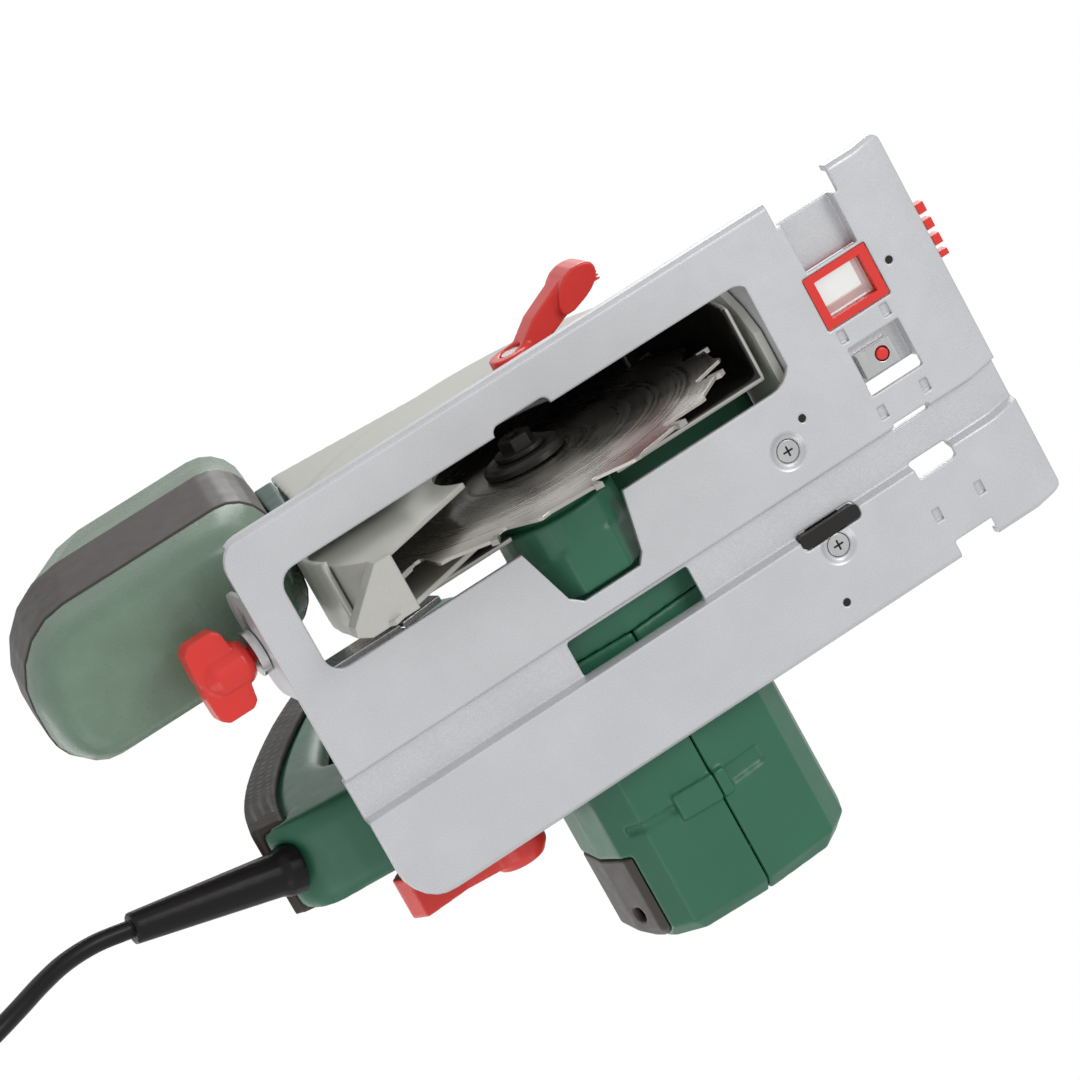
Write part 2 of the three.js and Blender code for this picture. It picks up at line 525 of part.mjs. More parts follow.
const stator = () => cut(pushed('y', roundedBox(MOTOR.x - 36, MOTOR.x + 36, MOTOR.z - 29, MOTOR.z + 29, 12), 44, 98),
  rod('y', onMotor, 26, 40, 100, 0, 20));
const brushPlate = () => cut(rod('y', onMotor, 33, 119.5, 122.5, 0, 20), rod('y', onMotor, 5, 118, 124, 0, 16));
const bearingCap = () => cut(rod('y', onMotor, 13, 123, 136, 0, 16), rod('y', onMotor, 9.9, 122, 133, 0, 16),
  rod('y', onMotor, 5, 130, 140, 0, 16));
function carbonBrush(side) {
  const [a, b] = [MOTOR.x + side * 12.4, MOTOR.x + side * 32];
  return box(Math.min(a, b), Math.max(a, b), 106, 116, MOTOR.z - 5, MOTOR.z + 5);
}

// ---- handle ---------------------------------------------------------------------------------
const SPINE = curved([[-174, 56], [-166, 90], [-151, 126], [-126, 168], [-101, 199]], 12);
const shifted = (points, du, dv) => points.map(([u, v]) => [u + du, v + dv]);

const handleOutline = () => outline([[-174, 56], ...eased([[-174, 56], ...SPINE.slice(2, -1), [-101, 199], [-84, 209],
  [-46, 205], [-28, 172], [-26, 60], [-60, 26], [-124, 30], [-162, 40]])]);
const fingerHole = () => outline(eased([[-137, 78], [-92, 72], [-66, 98], [-54, 148], [-62, 172], [-82, 178],
  [-100, 160], [-121, 118]]));
const TRIGGER = [[-116, 131], [-104, 126], [-88, 157], [-95, 166]];
const LOCK = { x: -80, z: 191 };                    // the lock-off button, along Y
const PRESS = [-0.889, 0.457];                      // the way the trigger is squeezed

function handleBody() {
  const body = cut(pushed('y', handleOutline(), HANDLE.y0, HANDLE.y1),
    pushed('y', fingerHole(), 0, 100),
    pushed('y', motorSection(GAP), 0, 150),
    rod('y', [CLAMP.x, 0, CLAMP.z], 4.6, 0, 100, 0, 20));
  const switchRoom = pushed('y', outline([[-140, 84], [-126, 84], [-84, 172], [-98, 184], [-112, 168],
    [-146, 112]]), 42, 62);
  return cut(body, switchRoom, triggerSweep(), lockBore());
}

function triggerSweep() {
  const grown = [[-118, 129], [-102, 123], [-85, 157], [-93, 169]];
  const back = shifted(grown, PRESS[0] * 6.5, PRESS[1] * 6.5);
  return join(pushed('y', outline(grown), 44, 60), pushed('y', outline(back), 44, 60));
}

const lockBore = () => rod('y', [LOCK.x, 0, LOCK.z], 5.4, 60, 80, 0, 12);

// The strip behind the spine that the soft grip wraps, from `back` to `front` of the spine line and
// `side` in from the handle's flanks, its two ends `trim` short.
function gripZone(back, front, side, trim) {
  const line = SPINE.map(([u, v], i) => [u, v + (i === 0 ? trim : i === SPINE.length - 1 ? -trim : 0)]);
  const points = [...shifted(line, back, -back / 2), ...shifted(line, front, -front / 2).reverse()];
  return pushed('y', outline(points), HANDLE.y0 + side, HANDLE.y1 - side);
}

function handleHalf(side) {
  const { parting } = HANDLE;
  const slab = side < 0 ? box(-300, 100, 0, parting - 0.15, 0, 300) : box(-300, 100, parting + 0.15, 100, 0, 300);
  return cut(handleBody(), cut(gripZone(-2, 12.4, -1, 0), gripZone(3.3, 40, 3.3, -20)), sleeveShape(GAP))
    .intersect(slab);
}

const softGrip = () => cut(gripZone(-2, 12.1, -1, 0.4), gripZone(3, 40, 3, -20), sleeveShape(GAP))
  .intersect(pushed('y', handleOutline(), HANDLE.y0, HANDLE.y1));

const trigger = () => pushed('y', outline(TRIGGER), 45, 59);
const lockButton = () => turned('y', [LOCK.x, 0, LOCK.z], [[0, 66], [5, 66], [5, 73], [4, 74.5], [0, 74.5]], 20);
const mainSwitch = () => pushed('y', outline([[-136, 88], [-128, 88], [-109, 126], [-124, 130], [-134, 112]]), 44, 60);

function auxiliaryHandle() {
  const bar = turned('y', [26, 0, 112], [[0, -16], [9, -15], [13, -9], [13, 12], [11.5, 24], [13, 40], [12, 56],
    [7, 61], [0, 61]], 24);
  return join(bar, box(17, 33, 15, 32, 90, 108), box(-8, 33, 15, 32, 87.6, 94));
}

// The cord's bend relief, thinning from the handle to its end.
const SLEEVE = { from: [-166, 51, 46], to: [-231, 34, 38] };
function sleeveShape(grow) {
  const [from, to] = [new THREE.Vector3(...SLEEVE.from), new THREE.Vector3(...SLEEVE.to)];
  const length = from.distanceTo(to);
  const profile = [[0, -grow], [9.5, -grow], [9.5, 6], [8.4, 9], [6, length], [0, length]];
  const points = profile.map(([r, h]) => new THREE.Vector2(r && r + grow, h));
  const geometry = new THREE.LatheGeometry(points, 16);
  geometry.applyQuaternion(new THREE.Quaternion().setFromUnitVectors(new THREE.Vector3(0, 1, 0),
    to.clone().sub(from).normalize()));
  return toSolid(geometry.translate(from.x, from.y, from.z));
}

// ---- guards ---------------------------------------------------------------------------------
function upperGuard() {
  const { radius: r, wall, y0, y1 } = UPPER;
  const drum = turned('y', onArbor, [[0, y0], [r - 9, y0], [r - 3, y0 + 2.5], [r, y0 + 8], [r, y1], [0, y1]], 56);
  const duct = pushed('y', outline([[-24, ARBOR.z + r - 0.5], [-88, 130], [-97, 66], [-60, 50], [-24, 40]]), y0 + 2, y1);
  const hollow = join(turned('y', onArbor, [[0, y0 + wall], [r - 12, y0 + wall], [r - 6.5, y0 + 5.5], [r - 2.8, y0 + 10],
    [r - 2.8, y1 - wall], [0, y1 - wall]], 56),
    pushed('y', outline([[-24, ARBOR.z + r - wall - 1], [-100, 128.5], [-100, 69], [-60, 56], [-24, 44]]),
      y0 + 2 + wall, y1 - wall));
  const slot = pushed('y', sector(ARBOR.x, ARBOR.z, LEVER_RADIUS - 4, LEVER_RADIUS + 4, LEVER_ANGLE - 8,
    LEVER_ANGLE + 138), y0 - 1, y0 + wall + 1);
  return cut(join(drum, duct), hollow, slot, box(-130, 90, -70, 0, -80, 6.5), box(-130, 90, -70, -50, -80, 26),
    rod('y', onArbor, 29, -24, -18, 0, 20));
}

function lowerGuard() {
  const { radius: r, inner, y0, y1, start, end } = LOWER;
  const sweep = (a, b, h0, h1, from = start, to = end) =>
    pushed('y', sector(ARBOR.x, ARBOR.z, a, b, from, to, 30), h0, h1);
  const web = sweep(27, r, y1 - 2, y1);
  const hub = rod('y', onArbor, 28, y1 - 2, y1, 20.4, 20);
  const rim = sweep(inner, r, y0, y1);
  const face = sweep(33, r, y0, y0 + 2);
  const nose = sweep(62, r + 8, y1 - 2, y1, end - 14, end);
  const post = rod('y', [ARBOR.x + LEVER_RADIUS * Math.cos(rad(LEVER_ANGLE)), 0,
    ARBOR.z + LEVER_RADIUS * Math.sin(rad(LEVER_ANGLE))], 3.4, -60.4, y0 + 1, 0, 16);
  const beak = pushed('z', outline([[-94, y0], [-101, y0], [-118, -31], [-119, -27.5], [-114, y1], [-90, y1]]), -21, -13);
  const keel = pushed('z', outline([[-88, y0], [-96, y0], [-116, -29], [-112, y1], [-86, y1]]), -15, -9);
  const room = cut(rod('y', onArbor, inner, y0 - 1, y1 + 1, 0, 48));
  return join(web, hub, rim, face, nose, post, cut(join(beak, keel), room));
}

const guardSpring = () => rod('y', onArbor, 25.6, -24.2, -22.6, 22, 20);

function guardLever() {
  const [x, z] = [ARBOR.x + LEVER_RADIUS * Math.cos(rad(LEVER_ANGLE)), ARBOR.z + LEVER_RADIUS * Math.sin(rad(LEVER_ANGLE))];
  const arm = pushed('z', outline([[x - 3, -60.8], [x + 8, -60.8], [x + 20, -65.5], [x + 38, -73], [x + 40, -80],
    [x + 30, -81], [x + 12, -73], [x + 4, -67], [x - 3, -66]]), z - 5.5, z + 6.5);
  const head = pushed('z', outline(eased([[x + 19, -65.5], [x + 40, -72], [x + 42, -82], [x + 27, -82]])), z - 8.5, z + 9.5);
  const foot = rod('y', [x, 0, z], 9, -66, -60.8, 0, 20);
  return cut(join(arm, foot, head), rod('y', [x, 0, z], 2.4, -90, -50, 0, 12), rod('y', [x, 0, z], 4.6, -90, -64, 0, 16));
}

function leverScrew() {
  const [x, z] = [ARBOR.x + LEVER_RADIUS * Math.cos(rad(LEVER_ANGLE)), ARBOR.z + LEVER_RADIUS * Math.sin(rad(LEVER_ANGLE))];
  return join(rod('y', [x, 0, z], 1.8, -64.6, -60.8, 0, 10), rod('y', [x, 0, z], 4, -65.8, -64.3, 0, 12));
}

// ---- dust box -------------------------------------------------------------------------------
// Plan outlines of the box at heights from its floor to its top.
const DUST_RINGS = [
  { x0: -207, x1: -132, y0: -66, y1: -27, z: 34, r: 12, rear: 18 },
  { x0: -213, x1: -123, y0: -70.5, y1: -23, z: 36, r: 15, rear: 22 },
  { x0: -217, x1: -118, y0: -73.5, y1: -21, z: 43, r: 16, rear: 26 },
  { x0: -218, x1: -109.6, y0: -75, y1: -20.6, z: 58, r: 16, rear: 28 },
  { x0: -213, x1: -102.5, y0: -80, y1: -20.6, z: 98, r: 16, rear: 34 },
  { x0: -196, x1: -98.3, y0: -81, y1: -20.6, z: 120, r: 16, rear: 34 },
  { x0: -183, x1: -99.5, y0: -78, y1: -23, z: 130, r: 14, rear: 28 },
  { x0: -168, x1: -106, y0: -70, y1: -30, z: 136, r: 10, rear: 18 },
];
const BAND = { z0: 58, z1: 98 };
const DUST_INLET = () => box(-112, -90, -54, -26.5, 82, 118);

// The plan ring at a height, drawn in by an inset.
function dustRing(z, inset) {
  const upper = Math.max(1, DUST_RINGS.findIndex((ring) => ring.z >= z));
  const [a, b] = [DUST_RINGS[upper - 1], DUST_RINGS[upper]];
  const mix = (key) => a[key] + (b[key] - a[key]) * (z - a.z) / (b.z - a.z);
  return planRing({ x0: mix('x0') + inset, x1: mix('x1') - inset, y0: mix('y0') + inset, y1: mix('y1') - inset,
    z, r: mix('r') - inset, rear: mix('rear') - inset });
}

const dustPiece = (heights, inset) => loft(heights.map((z) => dustRing(z, inset)));
const dustBoxLower = () => cut(dustPiece([34, 36, 43, BAND.z0 - GAP], 0), dustPiece([37, 44, 58, 60], 2.4));
const dustBoxUpper = () => cut(dustPiece([BAND.z1 + GAP, 120, 130, 136], 0), dustPiece([96, 98, 119, 127, 133], 2.6),
  DUST_INLET());
const dustBand = () => cut(dustPiece([BAND.z0, BAND.z1], -0.6), dustPiece([55, 58, 98, 100], 2.2), DUST_INLET());
const dustNeck = () => cut(pushed('y', outline([[-89.2, 124], [-97.4, 78], [-104.6, 78], [-96.8, 124]]), -57, -22.5),
  box(-115, -80, -53, -26.5, 82, 120));

// ---- depth clamp ----------------------------------------------------------------------------
function clampLever() {
  const { x, z } = CLAMP;
  const hub = turned('y', [x, 0, z], [[0, 74], [10, 74], [12, 77], [12, 91], [9, 95], [0, 95]], 24);
  const arm = pushed('y', outline([[x, z - 10], [x - 24, z - 4], [x - 42, z - 6], [x - 46, z + 2], [x - 40, z + 10],
    [x - 20, z + 11], [x, z + 11]]), 75, 92);
  return join(hub, arm);
}
const clampCollar = () => rod('y', [CLAMP.x, 0, CLAMP.z], 10, -12.6, 3.4, 4.4, 24);
const clampBolt = () => join(rod('y', [CLAMP.x, 0, CLAMP.z], 4, -18.6, 73.7, 0, 12),
  rod('y', [CLAMP.x, 0, CLAMP.z], 9, -18.6, -16.3, 0, 6));

// ---- spindle lock ---------------------------------------------------------------------------
const spindleLock = () => turned('x', [0, -2, 25], [[0, 4.6], [5, 4.6], [5, 12.5], [4, 13.5], [0, 13.5]], 20);

// ---- cord -----------------------------------------------------------------------------------
const CORD_ROUTE = [[-231.6, 33.8, 37.9], [-245, 30.6, 35.6], [-258, 28.9, 30.5], [-270, 28.7, 23.2],
  [-282, 29.3, 15], [-294, 30.2, 8.4], [-307, 31.8, 4.6], [-320, 33.8, 3.8], [-332, 35.4, 3.8],
  [-342, 36.1, 3.8]];
const PLUG = { x: -341, y: 150.5, z: 7 };           // beside the coil, on the same surface

const cordLead = () => tube(CORD_ROUTE, CORD.radius, 8, 27);
const cordCoil = () => turned('z', [CORD.coilX, CORD.coilY, 0], [[CORD.coilIn, 0], [CORD.coilOut, 0],
  [CORD.coilOut, CORD.coilTall], [CORD.coilIn, CORD.coilTall], [CORD.coilIn, 0]], 28);

// A flat plug on the floor, with its tapered relief towards the coil and two round pins.
function mainsPlug() {
  const { x, y, z } = PLUG;
  const body = pushed('z', outline([[x + 22, y - 5], [x + 34, y - 12], [x + 50, y - 13], [x + 50, y + 13],
    [x + 34, y + 12], [x + 22, y + 5]]), 0, 2 * z);
  const pins = [-9.5, 9.5].map((v) => rod('x', [0, y + v, z], 2, x + 49, x + 69, 0, 10));
  return join(body, turned('x', [0, y, z], [[0, x], [4.2, x], [6.5, x + 23], [0, x + 23]], 12), ...pins);
}

// ---- the assembly ---------------------------------------------------------------------------
add('base_plate', basePlate(), SILVER);
add('sight_frame', sightFrame(), RED);
add('sight_window', sightWindow(), CLEAR);
add('fence_clamp_block', fenceClampBlock(), ZINC);
add('fence_clamp_bolt', fenceClampBolt(), RED);
add('sole_insert', soleInsert(), BLACK);
add('sole_screw_right', soleScrew(6), ZINC);
add('sole_screw_left', soleScrew(46), ZINC);

add('front_tilt_bracket', frontTiltBracket(), DARK_STEEL);
add('rear_tilt_plate', rearTiltPlate(), ZINC);
add('depth_guide', depthGuide(), ZINC);
add('plunge_pivot_pin', pivotPin(), STEEL);
add('rear_washer', rearWasher(), ZINC);
add('front_wing_knob', frontWingKnob(), RED);
add('rear_wing_knob', rearWingKnob(), RED);

add('saw_blade', bladeDisc(), STEEL);
add('inner_flange', innerFlange(), DARK_STEEL);
add('outer_flange', outerFlange(), DARK_STEEL);
add('blade_bolt', bladeBolt(), DARK_STEEL);
add('spindle', spindle(), STEEL);
add('drive_gear', toothedWheel(onArbor, GEARS.wheel, 8, GEARS.y0, GEARS.y1), STEEL);
add('spindle_bearing', spindleBearing(), STEEL);

add('armature', armature(), COPPER);
add('commutator', commutator(), COPPER);
add('cooling_fan', coolingFan(), BLACK);
add('front_armature_bearing', rod('y', onMotor, 11, 5.3, 14, 4.3, 16), STEEL);
add('rear_armature_bearing', rod('y', onMotor, 9.6, 124, 132.6, 4.3, 16), STEEL);
add('stator', stator(), DARK_STEEL);
add('brush_plate', brushPlate(), BLACK);
add('bearing_cap', bearingCap(), BLACK);
add('carbon_brush_front', carbonBrush(1), CARBON);
add('carbon_brush_rear', carbonBrush(-1), CARBON);

add('gear_housing', gearHousing(), GREEN);
add('motor_shell_front', motorFrontShell(), GREEN);
add('motor_shell_rear', motorRearShell(), GREEN);
add('brush_cover', brushCover(), CHARCOAL);
add('handle_half_right', handleHalf(-1), GREEN);
add('handle_half_left', handleHalf(1), GREEN);
add('soft_grip', softGrip(), CHARCOAL);
add('auxiliary_handle', auxiliaryHandle(), CHARCOAL);
add('trigger', trigger(), RED);
add('lock_off_button', lockButton(), RED);
add('main_switch', mainSwitch(), BLACK);
add('cord_sleeve', sleeveShape(0), BLACK);
add('spindle_lock_button', spindleLock(), RED);

add('upper_guard', upperGuard(), CAST);
add('lower_guard', lowerGuard(), CAST);
add('guard_spring', guardSpring(), STEEL);
add('guard_lever', guardLever(), RED);
add('lever_screw', leverScrew(), ZINC);

add('dust_box_upper', dustBoxUpper(), SMOKED);
add('dust_box_band', dustBand(), CHARCOAL);
add('dust_box_lower', dustBoxLower(), SMOKED);
add('dust_neck', dustNeck(), DARK_GREEN);

add('depth_clamp_lever', clampLever(), RED);
add('depth_clamp_collar', clampCollar(), RED);
add('depth_clamp_bolt', clampBolt(), ZINC);

add('cord_lead', cordLead(), BLACK);
add('cord_coil', cordCoil(), BLACK);
add('mains_plug', mainsPlug(), BLACK);

export default group;
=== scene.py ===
"""Looks of a hand-held circular saw: refined pieces, materials, cord, light and camera."""

import json
import logging
import math
from dataclasses import dataclass
from enum import Enum
from typing import ClassVar, Union

import bmesh
import bpy
from mathutils import Matrix, Vector

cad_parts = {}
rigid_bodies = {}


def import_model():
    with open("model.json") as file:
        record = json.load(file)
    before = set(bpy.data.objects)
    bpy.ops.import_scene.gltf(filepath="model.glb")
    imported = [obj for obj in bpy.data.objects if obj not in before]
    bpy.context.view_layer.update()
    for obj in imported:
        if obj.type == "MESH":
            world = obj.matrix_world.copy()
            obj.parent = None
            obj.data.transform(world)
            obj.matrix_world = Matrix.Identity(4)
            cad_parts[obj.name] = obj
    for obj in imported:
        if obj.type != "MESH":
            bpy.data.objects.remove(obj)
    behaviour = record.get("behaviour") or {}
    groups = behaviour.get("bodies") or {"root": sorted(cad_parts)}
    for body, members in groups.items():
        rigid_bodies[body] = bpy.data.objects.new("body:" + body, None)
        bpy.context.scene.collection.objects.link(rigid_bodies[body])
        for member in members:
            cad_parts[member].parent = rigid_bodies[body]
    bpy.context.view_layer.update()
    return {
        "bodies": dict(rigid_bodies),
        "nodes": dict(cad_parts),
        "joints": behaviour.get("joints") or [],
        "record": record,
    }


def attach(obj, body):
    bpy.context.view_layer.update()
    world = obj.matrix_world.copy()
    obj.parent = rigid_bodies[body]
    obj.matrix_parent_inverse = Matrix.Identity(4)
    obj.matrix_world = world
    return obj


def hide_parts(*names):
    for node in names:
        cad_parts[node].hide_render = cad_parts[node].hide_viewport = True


LOG = logging.getLogger("saw")
MM = 0.001

ARBOR = Vector((-24, 0, 25)) * MM
BLADE_Y = -36 * MM
MIX_A, MIX_B, MIX_COLOUR = 6, 7, 2

Socket = bpy.types.NodeSocket
Value = Union[Socket, float, tuple]


class Pattern(Enum):
    """What a finish adds to its plain colour."""

    GRAIN = "fine moulded grain"
    FLECK = "metallic paint with a fleck"
    RINGS = "turned rings around the arbor"
    BRUSHED = "fine lengthways scratches"
    SMOKED = "cloudy translucent plastic"


@dataclass(frozen=True)
class Finish:
    """A surface: its colour in linear light and how it takes the light.

    Attributes:
        slot: the material slot's name.
        color: red, green and blue.
        roughness: 0 for a mirror, 1 for chalk.
        metallic: 1 for bare metal.
        pattern: what varies over the surface.
        scale: how fine the pattern is.
        depth: how strong its relief is.
        tone: how far its colour wanders.
        alpha: less than 1 lets what is behind show through.
        coat: a thin clear layer on top.
        soft: the radius in millimetres by which edges are shaded round.
        sheen: how strongly it mirrors at a slant.
        painted_shade_within: where a guard's inner walls get painted shade, near black, as Paint.inside takes
            it.
        dents: the centres of pressed dents in the underside, X and Y in millimetres.
    """

    slot: str
    color: tuple[float, float, float]
    roughness: float
    metallic: float = 0.0
    pattern: Pattern = Pattern.GRAIN
    scale: float = 2200.0
    depth: float = 0.02
    tone: float = 0.12
    alpha: float = 1.0
    coat: float = 0.0
    soft: float = 0.0
    sheen: float = 0.5
    painted_shade_within: tuple[float, float, float, float, float] | None = None
    dents: tuple[tuple[float, float], ...] = ()


SOLE = Finish("sole_silver", (0.60, 0.605, 0.625), 0.36, 0.45, Pattern.FLECK, 2600, 0.06, 0.12, soft=1.3,
              dents=((56.5, 6), (56.5, 46)))
CAST = Finish("cast_grey", (0.50, 0.50, 0.46), 0.36, 0.2, Pattern.FLECK, 2600, 0.03, 0.06, soft=0.8)
# The two guards' finishes below carry painted shade on their inner walls.
UPPER_CAST_INNER_SHADE = Finish("cast_grey", (0.50, 0.50, 0.46), 0.36, 0.2, Pattern.FLECK, 2600, 0.03, 0.06,
                    painted_shade_within=(86.2, 88.6, -56.3, -20.8, -75))
LOWER_CAST_INNER_SHADE = Finish("cast_grey", (0.50, 0.50, 0.46), 0.34, 0.25, Pattern.FLECK, 2600, 0.03, 0.06, soft=1.0,
                    painted_shade_within=(84.6, 84.6, -45.4, -20, -38))
GREEN = Finish("green_plastic", (0.021, 0.125, 0.070), 0.38, depth=0.05, tone=0.10)
DARK_GREEN = Finish("dark_green_plastic", (0.014, 0.066, 0.045), 0.5, depth=0.06)
RED = Finish("red_plastic", (0.68, 0.026, 0.018), 0.34, depth=0.015, tone=0.06, coat=0.15)
CHARCOAL = Finish("charcoal_plastic", (0.046, 0.038, 0.034), 0.45, depth=0.10, sheen=0.4)
GRIP = Finish("charcoal_rubber", (0.060, 0.050, 0.044), 0.66, depth=0.12, sheen=0.35)
BLACK = Finish("black_plastic", (0.012, 0.011, 0.010), 0.4, depth=0.03, sheen=0.35)
BLADE = Finish("blade_steel", (0.50, 0.475, 0.44), 0.27, 1.0, Pattern.RINGS, 450, tone=0.14)
STEEL = Finish("machined_steel", (0.45, 0.43, 0.41), 0.3, 1.0, Pattern.BRUSHED, 900, 0.05)
ZINC = Finish("zinc_plate", (0.62, 0.63, 0.63), 0.27, 1.0, Pattern.BRUSHED, 700, 0.03)
DARK_STEEL = Finish("dark_steel", (0.022, 0.020, 0.018), 0.4, 0.5, Pattern.GRAIN, 1500, 0.05)
COPPER = Finish("copper", (0.46, 0.17, 0.06), 0.3, 1.0, Pattern.BRUSHED, 900, 0.08)
CARBON = Finish("carbon", (0.02, 0.02, 0.021), 0.7)
SMOKED = Finish("smoked_plastic", (0.20, 0.295, 0.215), 0.27, 0, Pattern.SMOKED, 60, 0.01, 0.2, 0.84)
CLEAR = Finish("clear_plastic", (0.75, 0.79, 0.76), 0.12, 0, Pattern.SMOKED, 40, 0.0, 0.05, 0.35)
CORD_RUBBER = Finish("cord_rubber", (0.010, 0.009, 0.010), 0.34, depth=0.02, sheen=0.2)


class Nodes:
    """Small helper that adds and wires shader nodes of one material."""

    def __init__(self, name: str) -> None:
        """Starts an empty node material called name."""
        self.material = bpy.data.materials.new(name)
        self.material.use_nodes = True
        self.tree = self.material.node_tree
        self.shader = self.tree.nodes["Principled BSDF"]
        self.place = self.tree.nodes.new("ShaderNodeTexCoord").outputs["Object"]
        self.normal = None

    def add(self, kind: str, inputs: dict | None = None, **settings: str | int) -> bpy.types.Node:
        """Adds a node.

        Args:
            kind: the node's type.
            inputs: plain values or output sockets, by the input's name.
            settings: the node's own properties.
        Returns:
            The node.
        """
        node = self.tree.nodes.new(kind)
        for key, value in settings.items():
            setattr(node, key, value)
        for key, value in (inputs or {}).items():
            self.feed(node.inputs[key], value)
        return node

    def feed(self, socket: Socket, value: Value) -> None:
        """Links an output socket to an input, or sets a plain value on it.

        Args:
            socket: the input.
            value: the output socket or the plain value.
        """
        if isinstance(value, bpy.types.NodeSocket):
            self.tree.links.new(value, socket)
        else:
            socket.default_value = value

    def math(self, operation: str, *values: Value) -> Socket:
        """Adds a math node.

        Args:
            operation: what it works out.
            values: its inputs, in order.
        Returns:
            Its result.
        """
        node = self.add("ShaderNodeMath", operation=operation)
        for socket, value in zip(node.inputs, values):
            self.feed(socket, value)
        return node.outputs[0]

    def noise(self, scale: float, detail: float = 3.0, place: Socket | None = None) -> Socket:
        """A noise value between 0 and 1."""
        inputs = {"Vector": place or self.place, "Scale": scale, "Detail": detail}
        return self.add("ShaderNodeTexNoise", inputs).outputs["Fac"]

    def between(self, factor: Value, low: float, high: float) -> Socket:
        """A noise value spread over low to high."""
        inputs = {"Value": factor, "To Min": low, "To Max": high, "From Min": 0.3, "From Max": 0.7}
        return self.add("ShaderNodeMapRange", inputs).outputs["Result"]

    def bump(self, height: Value, strength: float, distance: float) -> None:
        """Bumps the surface, on top of the bumps made before.

        Args:
            height: the relief, from 0 to 1.
            strength: how much of it shows.
            distance: how high it stands, in metres.
        """
        inputs = {"Height": height, "Strength": strength, "Distance": distance}
        if self.normal is not None:
            inputs["Normal"] = self.normal
        self.normal = self.add("ShaderNodeBump", inputs).outputs["Normal"]
        self.feed(self.shader.inputs["Normal"], self.normal)

    def soften(self, radius: float) -> None:
        """Rounds the edges' shading by a radius in millimetres."""
        node = self.add("ShaderNodeBevel", {"Radius": radius * MM}, samples=6)
        self.normal = node.outputs["Normal"]
        self.feed(self.shader.inputs["Normal"], self.normal)

    def axes(self) -> bpy.types.NodeOutputs:
        """The place's X, Y and Z."""
        return self.add("ShaderNodeSeparateXYZ", {"Vector": self.place}).outputs

    def radius_about(self, u: Value, v: Value, cu: float, cv: float) -> Socket:
        """Distance in a plane from a centre, all in metres.

        Args:
            u: the place along one axis.
            v: the place along the other.
            cu: the centre along the first.
            cv: the centre along the other.
        Returns:
            The distance.
        """
        du, dv = self.math("SUBTRACT", u, cu), self.math("SUBTRACT", v, cv)
        squares = self.math("ADD", self.math("MULTIPLY", du, du), self.math("MULTIPLY", dv, dv))
        return self.math("SQRT", squares)

    def step(self, value: Value, low: float, high: float) -> Socket:
        """A smooth step.

        Args:
            value: what is compared, in metres.
            low: where the step is still 0; it may be the larger of the two.
            high: where it has reached 1.
        Returns:
            A factor between 0 and 1.
        """
        inputs = {"Value": value, "From Min": low, "From Max": high, "To Min": 0, "To Max": 1}
        node = self.add("ShaderNodeMapRange", inputs, interpolation_type="SMOOTHSTEP")
        return node.outputs["Result"]

    def darken(self, factor: Value, color: tuple) -> None:
        """Mixes the base colour made so far towards a colour.

        Args:
            factor: 1 where the colour covers all.
            color: red, green and blue.
        """
        socket = self.shader.inputs["Base Color"]
        before = socket.links[0].from_socket
        mix = self.add("ShaderNodeMix", data_type="RGBA")
        self.feed(mix.inputs["Factor"], factor)
        self.tree.links.new(before, mix.inputs[MIX_A])
        mix.inputs[MIX_B].default_value = (*color, 1)
        self.tree.links.new(mix.outputs[MIX_COLOUR], socket)

    def tint(self, color: tuple, factor: Value, tone: float) -> None:
        """Gives a base colour that wanders.

        Args:
            color: red, green and blue in the middle.
            factor: 0 where it is darkest, 1 where it is lightest.
            tone: how far it wanders each way, as a share.
        """
        mix = self.add("ShaderNodeMix", data_type="RGBA")
        self.feed(mix.inputs["Factor"], factor)
        mix.inputs[MIX_A].default_value = (*[c * (1 - tone) for c in color], 1)
        mix.inputs[MIX_B].default_value = (*[min(1, c * (1 + tone)) for c in color], 1)
        self.feed(self.shader.inputs["Base Color"], mix.outputs[MIX_COLOUR])


CLOUD_SCALE = 35
# Painted shade: the near black that the guards' inner walls are mixed to.
PAINTED_SHADE_BLACK = (0.012, 0.011, 0.010)


